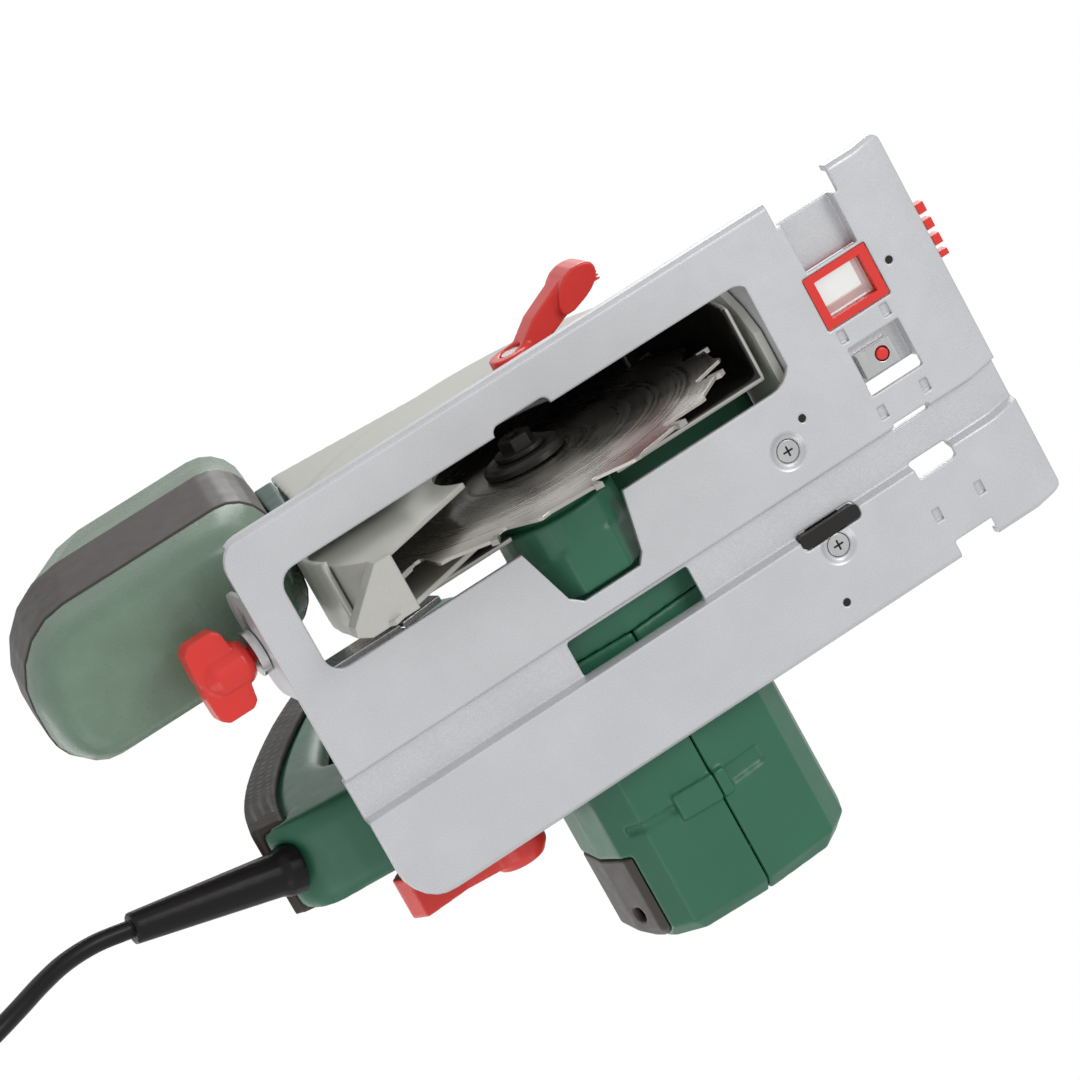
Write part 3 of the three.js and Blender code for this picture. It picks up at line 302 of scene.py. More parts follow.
class Paint:
    """Makes each finish's material once."""

    def __init__(self) -> None:
        """Starts with no materials."""
        self.made: dict[Finish, bpy.types.Material] = {}

    def __call__(self, finish: Finish) -> bpy.types.Material:
        """The material of a finish."""
        if finish not in self.made:
            self.made[finish] = self.build(finish)
        return self.made[finish]

    def build(self, finish: Finish) -> bpy.types.Material:
        """Builds the node material of a finish.

        Args:
            finish: the surface.
        Returns:
            Its material.
        """
        nodes = Nodes(finish.slot)
        shader = nodes.shader.inputs
        shader["Metallic"].default_value = finish.metallic
        shader["Specular IOR Level"].default_value = finish.sheen
        shader["Coat Weight"].default_value = finish.coat
        shader["Coat Roughness"].default_value = 0.2
        patterns = {Pattern.GRAIN: self.grain, Pattern.FLECK: self.fleck, Pattern.RINGS: self.rings,
                    Pattern.BRUSHED: self.brushed, Pattern.SMOKED: self.smoked}
        rough = nodes.between(nodes.noise(160), finish.roughness * 0.9, finish.roughness * 1.12)
        nodes.feed(shader["Roughness"], rough)
        if finish.soft:
            nodes.soften(finish.soft)
        patterns[finish.pattern](nodes, finish)
        # Painted shade on a guard's inner walls.
        if finish.painted_shade_within:
            self.inside(nodes, *finish.painted_shade_within)
        if finish.alpha < 1:
            shader["Alpha"].default_value = finish.alpha
        return nodes.material

    def grain(self, nodes: Nodes, finish: Finish) -> None:
        """Moulded texture: a fine even grain over a colour that is slightly cloudy."""
        nodes.tint(finish.color, nodes.noise(CLOUD_SCALE), finish.tone)
        nodes.bump(nodes.noise(finish.scale, 2), finish.depth * 3, 0.0002)

    def inside(self, nodes: Nodes, near: float, far: float, y_low: float, y_high: float,
               x_from: float) -> None:
        """Paints shade on a guard's inner walls: near black in front of a given X.

        Args:
            nodes: the material.
            near: the radius from the arbor of the inner walls at the open side, in millimetres.
            far: the same, away from the open side.
            y_low: the inner wall's Y at the open side.
            y_high: the inner wall's Y at the far side.
            x_from: the X behind which the walls keep their colour.
        """
        x, y, z = nodes.axes()
        reach = nodes.radius_about(x, z, ARBOR.x, ARBOR.z)
        limit = nodes.math("MULTIPLY_ADD", nodes.step(y, -53 * MM, -49.5 * MM), (far - near) * MM, near * MM)
        mask = nodes.step(nodes.math("SUBTRACT", reach, limit), 0.3 * MM, -0.3 * MM)
        for factor in (nodes.step(y, (y_low - 0.3) * MM, (y_low + 0.3) * MM),
                       nodes.step(y, (y_high + 0.3) * MM, (y_high - 0.3) * MM),
                       nodes.step(x, (x_from - 14) * MM, (x_from + 14) * MM)):
            mask = nodes.math("MULTIPLY", mask, factor)
        # Painted shade: the masked inner walls are mixed to near black.
        nodes.darken(mask, PAINTED_SHADE_BLACK)

    def fleck(self, nodes: Nodes, finish: Finish) -> None:
        """Metallic paint: tiny bright and dark flecks over orange peel, and pressed dents."""
        if finish.dents:
            x, y, _ = nodes.axes()
            dish = None
            for u, v in finish.dents:
                level = nodes.step(nodes.radius_about(x, y, u * MM, v * MM), 4.6 * MM, 7.8 * MM)
                dish = level if dish is None else nodes.math("MULTIPLY", dish, level)
            nodes.bump(dish, 1.0, 0.0016)
        spark = nodes.noise(finish.scale, 1)
        cloud = nodes.noise(CLOUD_SCALE)
        both = nodes.math("MULTIPLY_ADD", cloud, 0.25, nodes.math("MULTIPLY", spark, 0.75))
        nodes.tint(finish.color, nodes.between(both, 0, 1), finish.tone)
        peel = nodes.math("ADD", nodes.noise(700, 1), nodes.math("MULTIPLY", spark, 0.5))
        nodes.bump(peel, finish.depth * 3, 0.00015)

    def rings(self, nodes: Nodes, finish: Finish) -> None:
        """Turned steel: fine rings about the arbor, with a few stained patches."""
        x, _, z = nodes.axes()
        reach = nodes.radius_about(x, z, ARBOR.x, ARBOR.z)
        line = nodes.add("ShaderNodeCombineXYZ", {"X": reach}).outputs["Vector"]
        scratch = nodes.noise(finish.scale, 1, line)
        stain = nodes.noise(45, 3)
        both = nodes.math("MULTIPLY_ADD", scratch, 0.5, nodes.math("MULTIPLY", stain, 0.5))
        nodes.tint(finish.color, nodes.between(both, 0, 1), finish.tone)
        rough = nodes.between(both, finish.roughness * 0.75, finish.roughness * 1.4)
        nodes.feed(nodes.shader.inputs["Roughness"], rough)

    def brushed(self, nodes: Nodes, finish: Finish) -> None:
        """Metal with fine scratches along one way."""
        stretched = nodes.add("ShaderNodeMapping", {"Vector": nodes.place, "Scale": (1, 0.08, 1)})
        scratch = nodes.noise(finish.scale, 2, stretched.outputs["Vector"])
        nodes.tint(finish.color, scratch, finish.tone)
        nodes.bump(scratch, finish.depth * 2, 0.00004)

    def smoked(self, nodes: Nodes, finish: Finish) -> None:
        """Translucent plastic: slightly cloudy, a little light comes through."""
        nodes.tint(finish.color, nodes.noise(finish.scale, 2), finish.tone)
        shader = nodes.shader.inputs
        shader["Transmission Weight"].default_value = 0.12
        shader["IOR"].default_value = 1.45


# ---- meshes -----------------------------------------------------------------------------------


def new_object(name: str, mesh: bpy.types.Mesh | bpy.types.Curve) -> bpy.types.Object:
    """Links a new object.

    Args:
        name: the object's name.
        mesh: the mesh or curve that it holds.
    Returns:
        The object.
    """
    made = bpy.data.objects.new(name, mesh)
    bpy.context.scene.collection.objects.link(made)
    return made


def from_bmesh(name: str, bm: bmesh.types.BMesh, sharp: float = 35) -> bpy.types.Object:
    """Turns a bmesh into an object.

    Args:
        name: the object's name.
        bm: the shape, which is freed.
        sharp: the angle in degrees over which an edge is sharp and not smooth.
    Returns:
        The object.
    """
    bmesh.ops.recalc_face_normals(bm, faces=bm.faces)
    for face in bm.faces:
        face.smooth = True
    for edge in bm.edges:
        edge.smooth = edge.calc_face_angle(0) < math.radians(sharp)
    mesh = bpy.data.meshes.new(name)
    bm.to_mesh(mesh)
    bm.free()
    return new_object(name, mesh)


def baked(made: bpy.types.Object) -> bpy.types.Object:
    """Applies every modifier of a piece to its mesh.

    Args:
        made: the piece.
    Returns:
        The same piece.
    """
    graph = bpy.context.evaluated_depsgraph_get()
    mesh = bpy.data.meshes.new_from_object(made.evaluated_get(graph))
    made.modifiers.clear()
    made.data = mesh
    return made


def copy_of(nodes: list[str], frame: dict) -> bmesh.types.BMesh:
    """Merges the surfaces of some nodes.

    Args:
        nodes: the CAD nodes' names.
        frame: the loaded frame.
    Returns:
        One bmesh with closed surfaces.
    """
    bm = bmesh.new()
    for node in nodes:
        bm.from_mesh(frame["nodes"][node].data)
    bmesh.ops.remove_doubles(bm, verts=bm.verts, dist=2e-6)
    return bm


def merge_flats(bm: bmesh.types.BMesh) -> None:
    """Joins the triangles of each flat side into one face."""
    bmesh.ops.dissolve_limit(bm, angle_limit=math.radians(1), verts=bm.verts, edges=bm.edges,
                             delimit={"NORMAL"})


def round_rims(bm: bmesh.types.BMesh, flanks: tuple[float, ...], rounding: float) -> None:
    """Rounds the rims of flat sides.

    Args:
        bm: the shape.
        flanks: the sides' Y, in millimetres.
        rounding: the radius, in millimetres.
    """
    merge_flats(bm)
    rims = [
        edge for edge in bm.edges
        if any(all(abs(v.co.y - y * MM) < 0.05 * MM for v in edge.verts) for y in flanks)
        and math.radians(60) < edge.calc_face_angle_signed(0) < math.radians(120)
    ]
    bmesh.ops.bevel(bm, geom=rims, offset=rounding * MM, segments=4, profile=0.5, affect="EDGES",
                    material=-1, clamp_overlap=False)


class Shop:
    """Makes the pieces that stand for CAD nodes and gives them their finish and body."""

    def __init__(self, frame: dict) -> None:
        """Keeps the loaded frame and a paint box."""
        self.frame = frame
        self.paint = Paint()
        bodies = frame["record"]["behaviour"]["bodies"]
        self.body_of = {node: body for body, members in bodies.items() for node in members}

    def dress(self, piece: bpy.types.Object, finish: Finish, nodes: list[str]) -> bpy.types.Object:
        """Paints a piece and lets it stand for CAD nodes.

        Args:
            piece: the new object, in place.
            finish: its surface.
            nodes: the CAD nodes that it replaces, all on one body.
        Returns:
            The piece.
        """
        piece.data.materials.clear()
        piece.data.materials.append(self.paint(finish))
        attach(piece, self.body_of[nodes[0]])
        for node in nodes:
            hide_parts(node)
        LOG.info("%s stands for %s in %s", piece.name, ", ".join(nodes), finish.slot)
        return piece

    def dots(self, name: str, places: list[tuple[Vector, Vector]], radius: float, finish: Finish,
             body: str, stretch: float = 1.0, along: Vector = Vector((0, 0, 1))) -> bpy.types.Object:
        """Small flat-bottomed dots that lie on a surface, joined into one piece; in black they are painted
        shade in holes and dimples.

        Args:
            name: the piece's name.
            places: each dot's centre on the surface and the surface's normal.
            radius: in millimetres, across the stretch.
            finish: the dots' surface.
            body: the moving body that they sit on.
            stretch: how much longer a dot is along the given way.
            along: the way it is stretched.
        Returns:
            The joined piece.
        """
        proud, thick = 0.06 * MM, 0.5 * MM
        bm = bmesh.new()
        for centre, normal in places:
            side = normal.cross(along).normalized()
            way = side.cross(normal).normalized()
            turn = Matrix((side, way * stretch, normal)).transposed().to_4x4()
            place = Matrix.Translation(centre + normal * (proud - thick / 2)) @ turn
            bmesh.ops.create_cone(bm, cap_ends=True, segments=10, radius1=radius * MM, radius2=radius * MM,
                                  depth=thick, matrix=place)
        return self.trim(from_bmesh(name, bm, 30), finish, body)

    def trim(self, piece: bpy.types.Object, finish: Finish, body: str) -> bpy.types.Object:
        """Paints a small extra piece that replaces nothing.

        Args:
            piece: the new object, in place.
            finish: its surface.
            body: the moving body that it rides on.
        Returns:
            The piece.
        """
        piece.data.materials.clear()
        piece.data.materials.append(self.paint(finish))
        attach(piece, body)
        LOG.info("%s added in %s", piece.name, finish.slot)
        return piece

    def sheet(self, node: str, finish: Finish, width: float = 0.4, sharp: float = 25) -> bpy.types.Object:
        """A hard piece with eased edges.

        Args:
            node: the CAD node.
            finish: the surface.
            width: how far the edges are eased, in millimetres.
            sharp: the angle in degrees over which an edge is eased.
        Returns:
            The piece.
        """
        bm = copy_of([node], self.frame)
        merge_flats(bm)
        piece = from_bmesh(node + "_look", bm, sharp)
        bevel = piece.modifiers.new("ease", "BEVEL")
        bevel.width = width * MM
        bevel.segments = 2
        bevel.limit_method = "ANGLE"
        bevel.angle_limit = math.radians(sharp)
        bevel.harden_normals = True
        return self.dress(baked(piece), finish, [node])

    def mould(self, nodes: list[str], finish: Finish, voxel: float = 1.2, passes: int = 8,
              name: str = "", flanks: tuple[float, ...] = (), rounding: float = 5) -> bpy.types.Object:
        """A moulded piece: its nodes fused and rounded.

        Args:
            nodes: the CAD nodes, all on one body.
            finish: the surface.
            voxel: how fine the fused surface is, in millimetres.
            passes: how many times it is smoothed.
            name: the piece's name, if not the first node's.
            flanks: the Y of flat sides whose rims are rounded, in millimetres.
            rounding: by how much they are rounded, in millimetres.
        Returns:
            The piece.
        """
        bm = copy_of(nodes, self.frame)
        if flanks:
            round_rims(bm, flanks, rounding)
        mesh = bpy.data.meshes.new(nodes[0])
        bm.to_mesh(mesh)
        bm.free()
        piece = new_object((name or nodes[0]) + "_look", mesh)
        remesh = piece.modifiers.new("fuse", "REMESH")
        remesh.mode = "VOXEL"
        remesh.voxel_size = voxel * MM
        remesh.use_smooth_shade = True
        smooth = piece.modifiers.new("round", "SMOOTH")
        smooth.factor = 0.5
        smooth.iterations = passes
        return self.dress(baked(piece), finish, nodes)

    def keep(self, node: str, finish: Finish) -> None:
        """Shows the CAD node itself.

        Args:
            node: its name.
            finish: its surface.
        """
        piece = self.frame["nodes"][node]
        piece.data.materials.clear()
        piece.data.materials.append(self.paint(finish))
        LOG.info("%s kept in %s", node, finish.slot)


# ---- the cord ---------------------------------------------------------------------------------


def smooth_through(points: list[Vector], steps: int) -> list[Vector]:
    """Puts a smooth curve through a few points.

    Args:
        points: the points that it passes.
        steps: how many short stretches lie between two of them.
    Returns:
        The curve's points, with the last one given.
    """
    padded = [points[0] * 2 - points[1], *points, points[-1] * 2 - points[-2]]
    out = []
    for a, b, c, d in zip(padded, padded[1:], padded[2:], padded[3:]):
        for i in range(steps):
            t = i / steps
            out.append(0.5 * ((2 * b) + (c - a) * t + (2 * a - 5 * b + 4 * c - d) * t * t
                              + (3 * b - a - 3 * c + d) * t ** 3))
    return [*out, points[-1].copy()]


@dataclass
class Cord:
    """The mains lead from the sleeve to its plug; sizes in millimetres."""

    shop: Shop
    radius: float = 3.5
    coil_x: float = -372
    coil_y: float = 93.5
    outer: float = 57
    inner: float = 27.3
    turns: float = 8.5
    steps_per_turn: int = 36
    climb_turns: float = 0.25
    plug: tuple[float, float, float] = (-341, 150.5, 7)

    ROUTE: ClassVar[list[tuple[float, float, float]]] = [
        (-231.6, 33.8, 37.9), (-245, 30.6, 35.6), (-258, 28.9, 30.5), (-270, 28.7, 23.2), (-282, 29.3, 15),
        (-294, 30.2, 8.4), (-307, 31.8, 4.6), (-320, 33.8, 3.8), (-332, 35.4, 3.8), (-342, 36.1, 3.8),
    ]

    def build(self) -> None:
        points = self.centreline()
        piece = self.tube(points)
        piece.data.materials.append(self.shop.paint(CORD_RUBBER))
        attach(piece, "saw")
        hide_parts("cord_lead")
        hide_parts("cord_coil")
        plug = self.shop.mould(["mains_plug"], CORD_RUBBER, 0.6, 4)

    def centreline(self) -> list[Vector]:
        """The whole cord's line: the free stretch, the way into the coil, the coil, and the plug's end.

        Returns:
            The line's points, in metres.
        """
        lead = smooth_through([Vector(p) * MM for p in self.ROUTE], 4)
        start = self.on_coil(self.outer, -math.pi / 2, self.radius)
        bridge = smooth_through([lead[-1], lead[-1].lerp(start, 0.5), start], 6)
        coil = self.coil()
        plug = Vector(self.plug) * MM
        tail = smooth_through([coil[-1], coil[-1] + Vector((14, 0.6, -0.6)) * MM,
                               plug + Vector((-4, 0, 1.2)) * MM, plug + Vector((6, 0, 0)) * MM], 5)
        return lead + bridge[1:] + coil + tail[1:]

    def on_coil(self, radius: float, angle: float, height: float) -> Vector:
        """Finds a point above the coil's middle ring.

        Args:
            radius: in millimetres, from the coil's axis.
            angle: in radians, from +X.
            height: in millimetres, above the ground.
        Returns:
            The point, in metres.
        """
        x = self.coil_x + radius * math.cos(angle)
        return Vector((x, self.coil_y + radius * math.sin(angle), height)) * MM

    def coil(self) -> list[Vector]:
        """The wound part: one layer spirals in on the ground, the next spirals out on top of it.

        Returns:
            The line's points, in metres.
        """
        steps = round(self.turns * self.steps_per_turn)
        points = []
        for i in range(1, steps + 1):
            share = i / steps
            angle = -math.pi / 2 - math.tau * self.turns * share
            inward = 1 - abs(1 - 2 * share)
            radius = self.outer + (self.inner - self.outer) * inward
            rise = min(1, max(0, (share - 0.5) * self.turns / self.climb_turns + 0.5))
            height = self.radius + 2 * self.radius * rise * rise * (3 - 2 * rise)
            points.append(self.on_coil(radius, angle, height))
        return points

    def tube(self, points: list[Vector]) -> bpy.types.Object:
        """Makes a round tube.

        Args:
            points: the tube's line, in metres.
        Returns:
            The tube, as a curve.
        """
        curve = bpy.data.curves.new("cord_look", "CURVE")
        curve.dimensions = "3D"
        curve.bevel_depth = self.radius * MM
        curve.bevel_resolution = 4
        curve.use_fill_caps = True
        spline = curve.splines.new("POLY")
        spline.points.add(len(points) - 1)
        for point, place in zip(spline.points, points):
            point.co = (*place, 1)
        return new_object("cord_look", curve)


# ---- light, floor and camera ------------------------------------------------------------------


@dataclass
class Studio:
    """The white studio around the saw; sizes in metres."""

    away: tuple[float, float, float] = (-0.2395, -0.2776, -1)
    aim: tuple[float, float, float] = (-0.0398, -0.0161, 0)
    roll: float = 0.5698
    distance: float = 2.0
    width_seen: float = 0.3837
    sensor: float = 36
    surround: float = 0.72
    floor_half: float = 3

    def build(self) -> None:
        """Makes the camera, the surround, the lights and the floor."""
        self.camera()
        self.world()
        self.lights()
        self.floor()
        scene = bpy.context.scene
        scene.view_settings.view_transform = "Standard"
        scene.view_settings.look = "None"

    def view_axes(self) -> tuple[Vector, Vector]:
        """The view's right and up directions.

        Returns:
            Right and up, as unit vectors.
        """
        away = Vector(self.away).normalized()
        forward = (Vector((1, 0, 0)) - away * away.x).normalized()
        across = away.cross(forward)
        if across.y < 0:
            across.negate()
        right = math.cos(self.roll) * forward + math.sin(self.roll) * across
        up = math.sin(self.roll) * forward - math.cos(self.roll) * across
        return right, up

    def camera(self) -> None:
        """The camera looks up at the sole from below, behind and the right."""
        data = bpy.data.cameras.new("camera")
        data.sensor_width = self.sensor
        data.lens = self.sensor * self.distance / self.width_seen
        data.clip_end = 20
        camera = bpy.data.objects.new("camera", data)
        bpy.context.scene.collection.objects.link(camera)
        right, up = self.view_axes()
        turn = Matrix((right, up, right.cross(up))).transposed()
        place = Vector(self.aim) + Vector(self.away).normalized() * self.distance
        camera.matrix_world = Matrix.Translation(place) @ turn.to_4x4()
        bpy.context.scene.camera = camera

    def world(self) -> None:
        """A plain white surround, a little dimmer as a light than as it looks."""
        world = bpy.data.worlds.new("surround")
        bpy.context.scene.world = world
        world.use_nodes = True
        tree = world.node_tree
        background = tree.nodes["Background"]
        background.inputs["Color"].default_value = (1, 1, 1, 1)
        seen = tree.nodes.new("ShaderNodeLightPath").outputs["Is Camera Ray"]
        strength = tree.nodes.new("ShaderNodeMapRange")
        strength.inputs["To Min"].default_value = self.surround
        strength.inputs["To Max"].default_value = 1.0
        tree.links.new(seen, strength.inputs["Value"])
        tree.links.new(strength.outputs["Result"], background.inputs["Strength"])

    def area(self, name: str, place: tuple, aim: tuple, size: float, power: float) -> None:
        """One soft square light.

        Args:
            name: the light's name.
            place: where it stands.
            aim: the point that it is turned to.
            size: its side.
            power: in watts.
        """
        data = bpy.data.lights.new(name, "AREA")
        data.size = size
        data.energy = power
        light = bpy.data.objects.new(name, data)
        bpy.context.scene.collection.objects.link(light)
        light.location = place
        light.rotation_euler = (Vector(aim) - Vector(place)).to_track_quat("-Z", "Y").to_euler()

    def lights(self) -> None:
        """A key from the front left below, a low fill, and two soft lights above."""
        self.area("key_below", (0.9, -0.6, -1.2), (0, 0, 0), 0.7, 9)
        self.area("fill_below", (-1.0, 0.9, -1.0), (0, 0, 0), 1.0, 4)
        self.area("top_front", (0.9, -0.9, 1.5), (0, 0, 0.1), 0.9, 10)
        self.area("top_back", (-1.2, 0.9, 1.2), (0, 0, 0.1), 1.2, 7)

    def floor(self) -> None:
        """A white floor that is only seen from above, and takes no part in the light."""
        bm = bmesh.new()
        bmesh.ops.create_grid(bm, x_segments=1, y_segments=1, size=self.floor_half)
        floor = from_bmesh("floor", bm)
        floor.data.transform(Matrix.Translation((0, 0, -1 * MM)))
        nodes = Nodes("floor")
        nodes.shader.inputs["Base Color"].default_value = (0.9, 0.9, 0.9, 1)
        nodes.shader.inputs["Roughness"].default_value = 0.9
        geometry = nodes.add("ShaderNodeNewGeometry")
        clear = nodes.add("ShaderNodeBsdfTransparent")
        mix = nodes.add("ShaderNodeMixShader")
        nodes.feed(mix.inputs[0], geometry.outputs["Backfacing"])
        nodes.feed(mix.inputs[1], nodes.shader.outputs[0])
        nodes.feed(mix.inputs[2], clear.outputs[0])
        output = nodes.tree.nodes["Material Output"]
        nodes.tree.links.new(mix.outputs[0], output.inputs["Surface"])
        floor.data.materials.append(nodes.material)
        floor.visible_shadow = False
        floor.visible_diffuse = False
        floor.visible_glossy = False
        floor.visible_transmission = False


# ---- the saw's pieces, with all sizes in millimetres ------------------------------------------


def prism(name: str, outlines: list[list[tuple[float, float]]], y0: float, y1: float, ease: float,
          sharp: float) -> bpy.types.Object:
    """Pushes flat outlines in the XZ plane along Y, as one piece.

    Args:
        name: the piece's name.
        outlines: the corners of each outline, X and Z.
        y0: the Y where the outlines lie.
        y1: the Y that they are pushed to.
        ease: how much the edges are eased, or 0.
        sharp: the angle in degrees over which an edge is sharp.
    Returns:
        The piece.
    """
    bm = bmesh.new()
    faces = [bm.faces.new([bm.verts.new((u * MM, y0 * MM, v * MM)) for u, v in outline])
             for outline in outlines]
    pushed = bmesh.ops.extrude_face_region(bm, geom=faces)
    moved = [v for v in pushed["geom"] if isinstance(v, bmesh.types.BMVert)]
    bmesh.ops.translate(bm, vec=(0, (y1 - y0) * MM, 0), verts=moved)
    bmesh.ops.recalc_face_normals(bm, faces=bm.faces)
    if ease:
        edges = [e for e in bm.edges if e.calc_face_angle(0) > math.radians(50)]
        bmesh.ops.bevel(bm, geom=edges, offset=ease * MM, segments=2, profile=0.5, affect="EDGES",
                        material=-1, clamp_overlap=True)
    return from_bmesh(name, bm, sharp)


def blocks(name: str, boxes: list[tuple[float, ...]]) -> bpy.types.Object:
    """Makes small blocks with eased edges, as one piece.

    Args:
        name: the piece's name.
        boxes: each block's x0, x1, y0, y1, z0, z1.
    Returns:
        The piece.
    """
    bm = bmesh.new()
    for x0, x1, y0, y1, z0, z1 in boxes:
        made = bmesh.ops.create_cube(bm, size=1)["verts"]
        bmesh.ops.scale(bm, vec=((x1 - x0) * MM, (y1 - y0) * MM, (z1 - z0) * MM), verts=made)
        middle = Vector((x0 + x1, y0 + y1, z0 + z1)) / 2
        bmesh.ops.translate(bm, vec=middle * MM, verts=made)
    bmesh.ops.bevel(bm, geom=list(bm.edges), offset=0.2 * MM, segments=2, profile=0.5, affect="EDGES",
                    material=-1, clamp_overlap=True)
    return from_bmesh(name, bm, 40)


@dataclass
class Sole:
    """The sole, what is fixed to it and the tilt frame on it."""

    shop: Shop
    screw_x: float = 56.5
    screw_ys: tuple[float, ...] = (6, 46)
    # Size and height of the painted shade in the screws' cross recesses.
    cross_arm: float = 2.1
    cross_half: float = 0.45
    cross_z: tuple[float, float] = (0.04, 0.5)
    # Small holes in the sole, filled with black discs as painted shade.
    hole_centres: tuple[tuple[float, float], ...] = ((67, -1.5), (49, 66), (124, -34))
    hole_shade_z: float = 0.3
    hole_shade_radius: float = 1.5

    def build(self) -> None:
        """Dresses the sole, its fittings and the tilt frame, and adds the small trim: painted shade in the
        screws' cross recesses and in small holes.
        """
        sheet = self.shop.sheet
        sheet("base_plate", SOLE, 0.5)
        sheet("sight_frame", RED, 0.3)
        sheet("sight_window", CLEAR, 0.2)
        sheet("fence_clamp_block", ZINC, 0.3)
        self.shop.mould(["fence_clamp_bolt"], RED, 0.5, 4)
        sheet("sole_insert", BLACK, 0.3)
        for node in ("sole_screw_right", "sole_screw_left"):
            sheet(node, ZINC, 0.2)
        self.screw_cross_shade()
        self.shaded_holes()
        for node, finish in (("front_tilt_bracket", CAST), ("rear_tilt_plate", CAST), ("depth_guide", ZINC)):
            sheet(node, finish, 0.4)
        for node in ("plunge_pivot_pin", "rear_washer", "depth_clamp_bolt", "lever_screw"):
            sheet(node, ZINC, 0.25)

    def screw_cross_shade(self) -> None:
        """Painted shade: dark crosses on the two screws' heads, where their cross recesses are."""
        arm, half = self.cross_arm, self.cross_half
        crosses = [
            (self.screw_x - a, self.screw_x + a, y - b, y + b, *self.cross_z)
            for y in self.screw_ys for a, b in ((arm, half), (half, arm))
        ]
        self.shop.trim(blocks("screw_cross_shade", crosses), DARK_STEEL, "base")

    def shaded_holes(self) -> None:
        """Painted shade: black discs set in small holes in the sole's underside."""
        places = [(Vector((x, y, self.hole_shade_z)) * MM, Vector((0, 0, -1))) for x, y in self.hole_centres]
        self.shop.dots("sole_hole_shade", places, self.hole_shade_radius, BLACK, "base", along=Vector((0, 1, 0)))


@dataclass
class Blade:
    """The toothed disc, its carbide tips and its fixings."""

    shop: Shop
    teeth: int = 12
    half_thick: float = 0.65
    tip_half: float = 1.0

    GULLET: ClassVar[list[tuple[float, float]]] = [
        (79.4, 0.4), (71.0, -0.6), (69.0, 0.3), (68.7, 1.6), (78.0, 11.6), (78.7, 13.0), (76.6, 15.2),
        (76.2, 19), (76.4, 24), (77.0, 28),
    ]
    TIP: ClassVar[list[tuple[float, float]]] = [(80, 0.4), (79, -1.9), (74, -1.7), (73.8, 0)]

    def build(self) -> None:
        """Builds the disc and its tips, and dresses the flanges and the bolt."""
        y = BLADE_Y / MM
        pitch = 360 / self.teeth
        turns = [i * pitch for i in range(self.teeth)]
        edge = [self.polar(radius, start + turn) for start in turns for radius, turn in self.GULLET]
        disc = prism("saw_blade_look", [edge], y - self.half_thick, y + self.half_thick, 0.12, 12)
        self.shop.dress(disc, BLADE, ["saw_blade"])
        tips = [[self.polar(radius, start + turn) for radius, turn in self.TIP] for start in turns]
        carbide = prism("blade_tips", tips, y - self.tip_half, y + self.tip_half, 0, 20)
        self.shop.trim(carbide, STEEL, "spindle")
        for node in ("inner_flange", "outer_flange", "blade_bolt"):
            self.shop.sheet(node, DARK_STEEL, 0.4)

    def polar(self, radius: float, degrees: float) -> tuple[float, float]:
        """Finds a point in the blade's plane.

        Args:
            radius: from the arbor.
            degrees: the angle about it.
        Returns:
            The point's X and Z.
        """
        angle = math.radians(degrees)
        return (ARBOR.x / MM + radius * math.cos(angle), ARBOR.z / MM + radius * math.sin(angle))


@dataclass
class Guards:
    """The fixed upper guard and the lower guard that swings."""

    shop: Shop

    def build(self) -> None:
        """Dresses both guards."""
        self.shop.mould(["upper_guard"], UPPER_CAST_INNER_SHADE, 1.2, 5)
        self.shop.sheet("lower_guard", LOWER_CAST_INNER_SHADE, 0.5)


@dataclass
class Controls:
    """Red knobs, levers and buttons."""

    shop: Shop
    lock_off_axis: tuple[float, float, float] = (-80, 0, 191)
    lock_off_slim: float = 0.86
    spindle_lock_axis: tuple[float, float, float] = (0, -2, 25)
    spindle_lock_slim: float = 0.88
    lever_x: float = -1.1
    lever_z: float = 59.0
    ridges: int = 5
    ridge_y: float = -79.0
    ridge_pitch: float = 1.4
    ridge_thick: float = 0.7

    def build(self) -> None:
        """Dresses every red piece that a hand works."""
        mould = self.shop.mould
        for node in ("front_wing_knob", "rear_wing_knob"):
            mould([node], RED, 0.45, 14)
        mould(["trigger"], RED, 0.4, 8)
        slim = self.lock_off_slim
        self.slimmed(mould(["lock_off_button"], RED, 0.4, 5), self.lock_off_axis, (slim, 1, slim))
        slim = self.spindle_lock_slim
        self.slimmed(mould(["spindle_lock_button"], RED, 0.4, 5), self.spindle_lock_axis, (1, slim, slim))
        mould(["guard_lever"], RED, 0.5, 12)
        self.lever_ridges()
        mould(["depth_clamp_lever"], RED, 0.6, 14)
        self.shop.sheet("depth_clamp_collar", RED, 0.5)

    def slimmed(self, piece: bpy.types.Object, axis: tuple, scale: tuple) -> None:
        """Draws a button in about its axis, so that it clears the bore that it slides in.

        Args:
            piece: the button.
            axis: a point on its axis.
            scale: how much is left of its size along X, Y and Z.
        """
        centre = Vector(axis) * MM
        shrink = Matrix.Diagonal((*scale, 1))
        piece.data.transform(Matrix.Translation(centre) @ shrink @ Matrix.Translation(-centre))

    def lever_ridges(self) -> None:
        """Thumb ridges across the guard lever's head."""
        x, z = self.lever_x, self.lever_z
        starts = [self.ridge_y + self.ridge_pitch * i for i in range(self.ridges)]
        ridges = [(x + 37.6, x + 41.4, y, y + self.ridge_thick, z - 6.5, z + 7.5) for y in starts]
        self.shop.trim(blocks("lever_ridges", ridges), RED, "lower_guard")


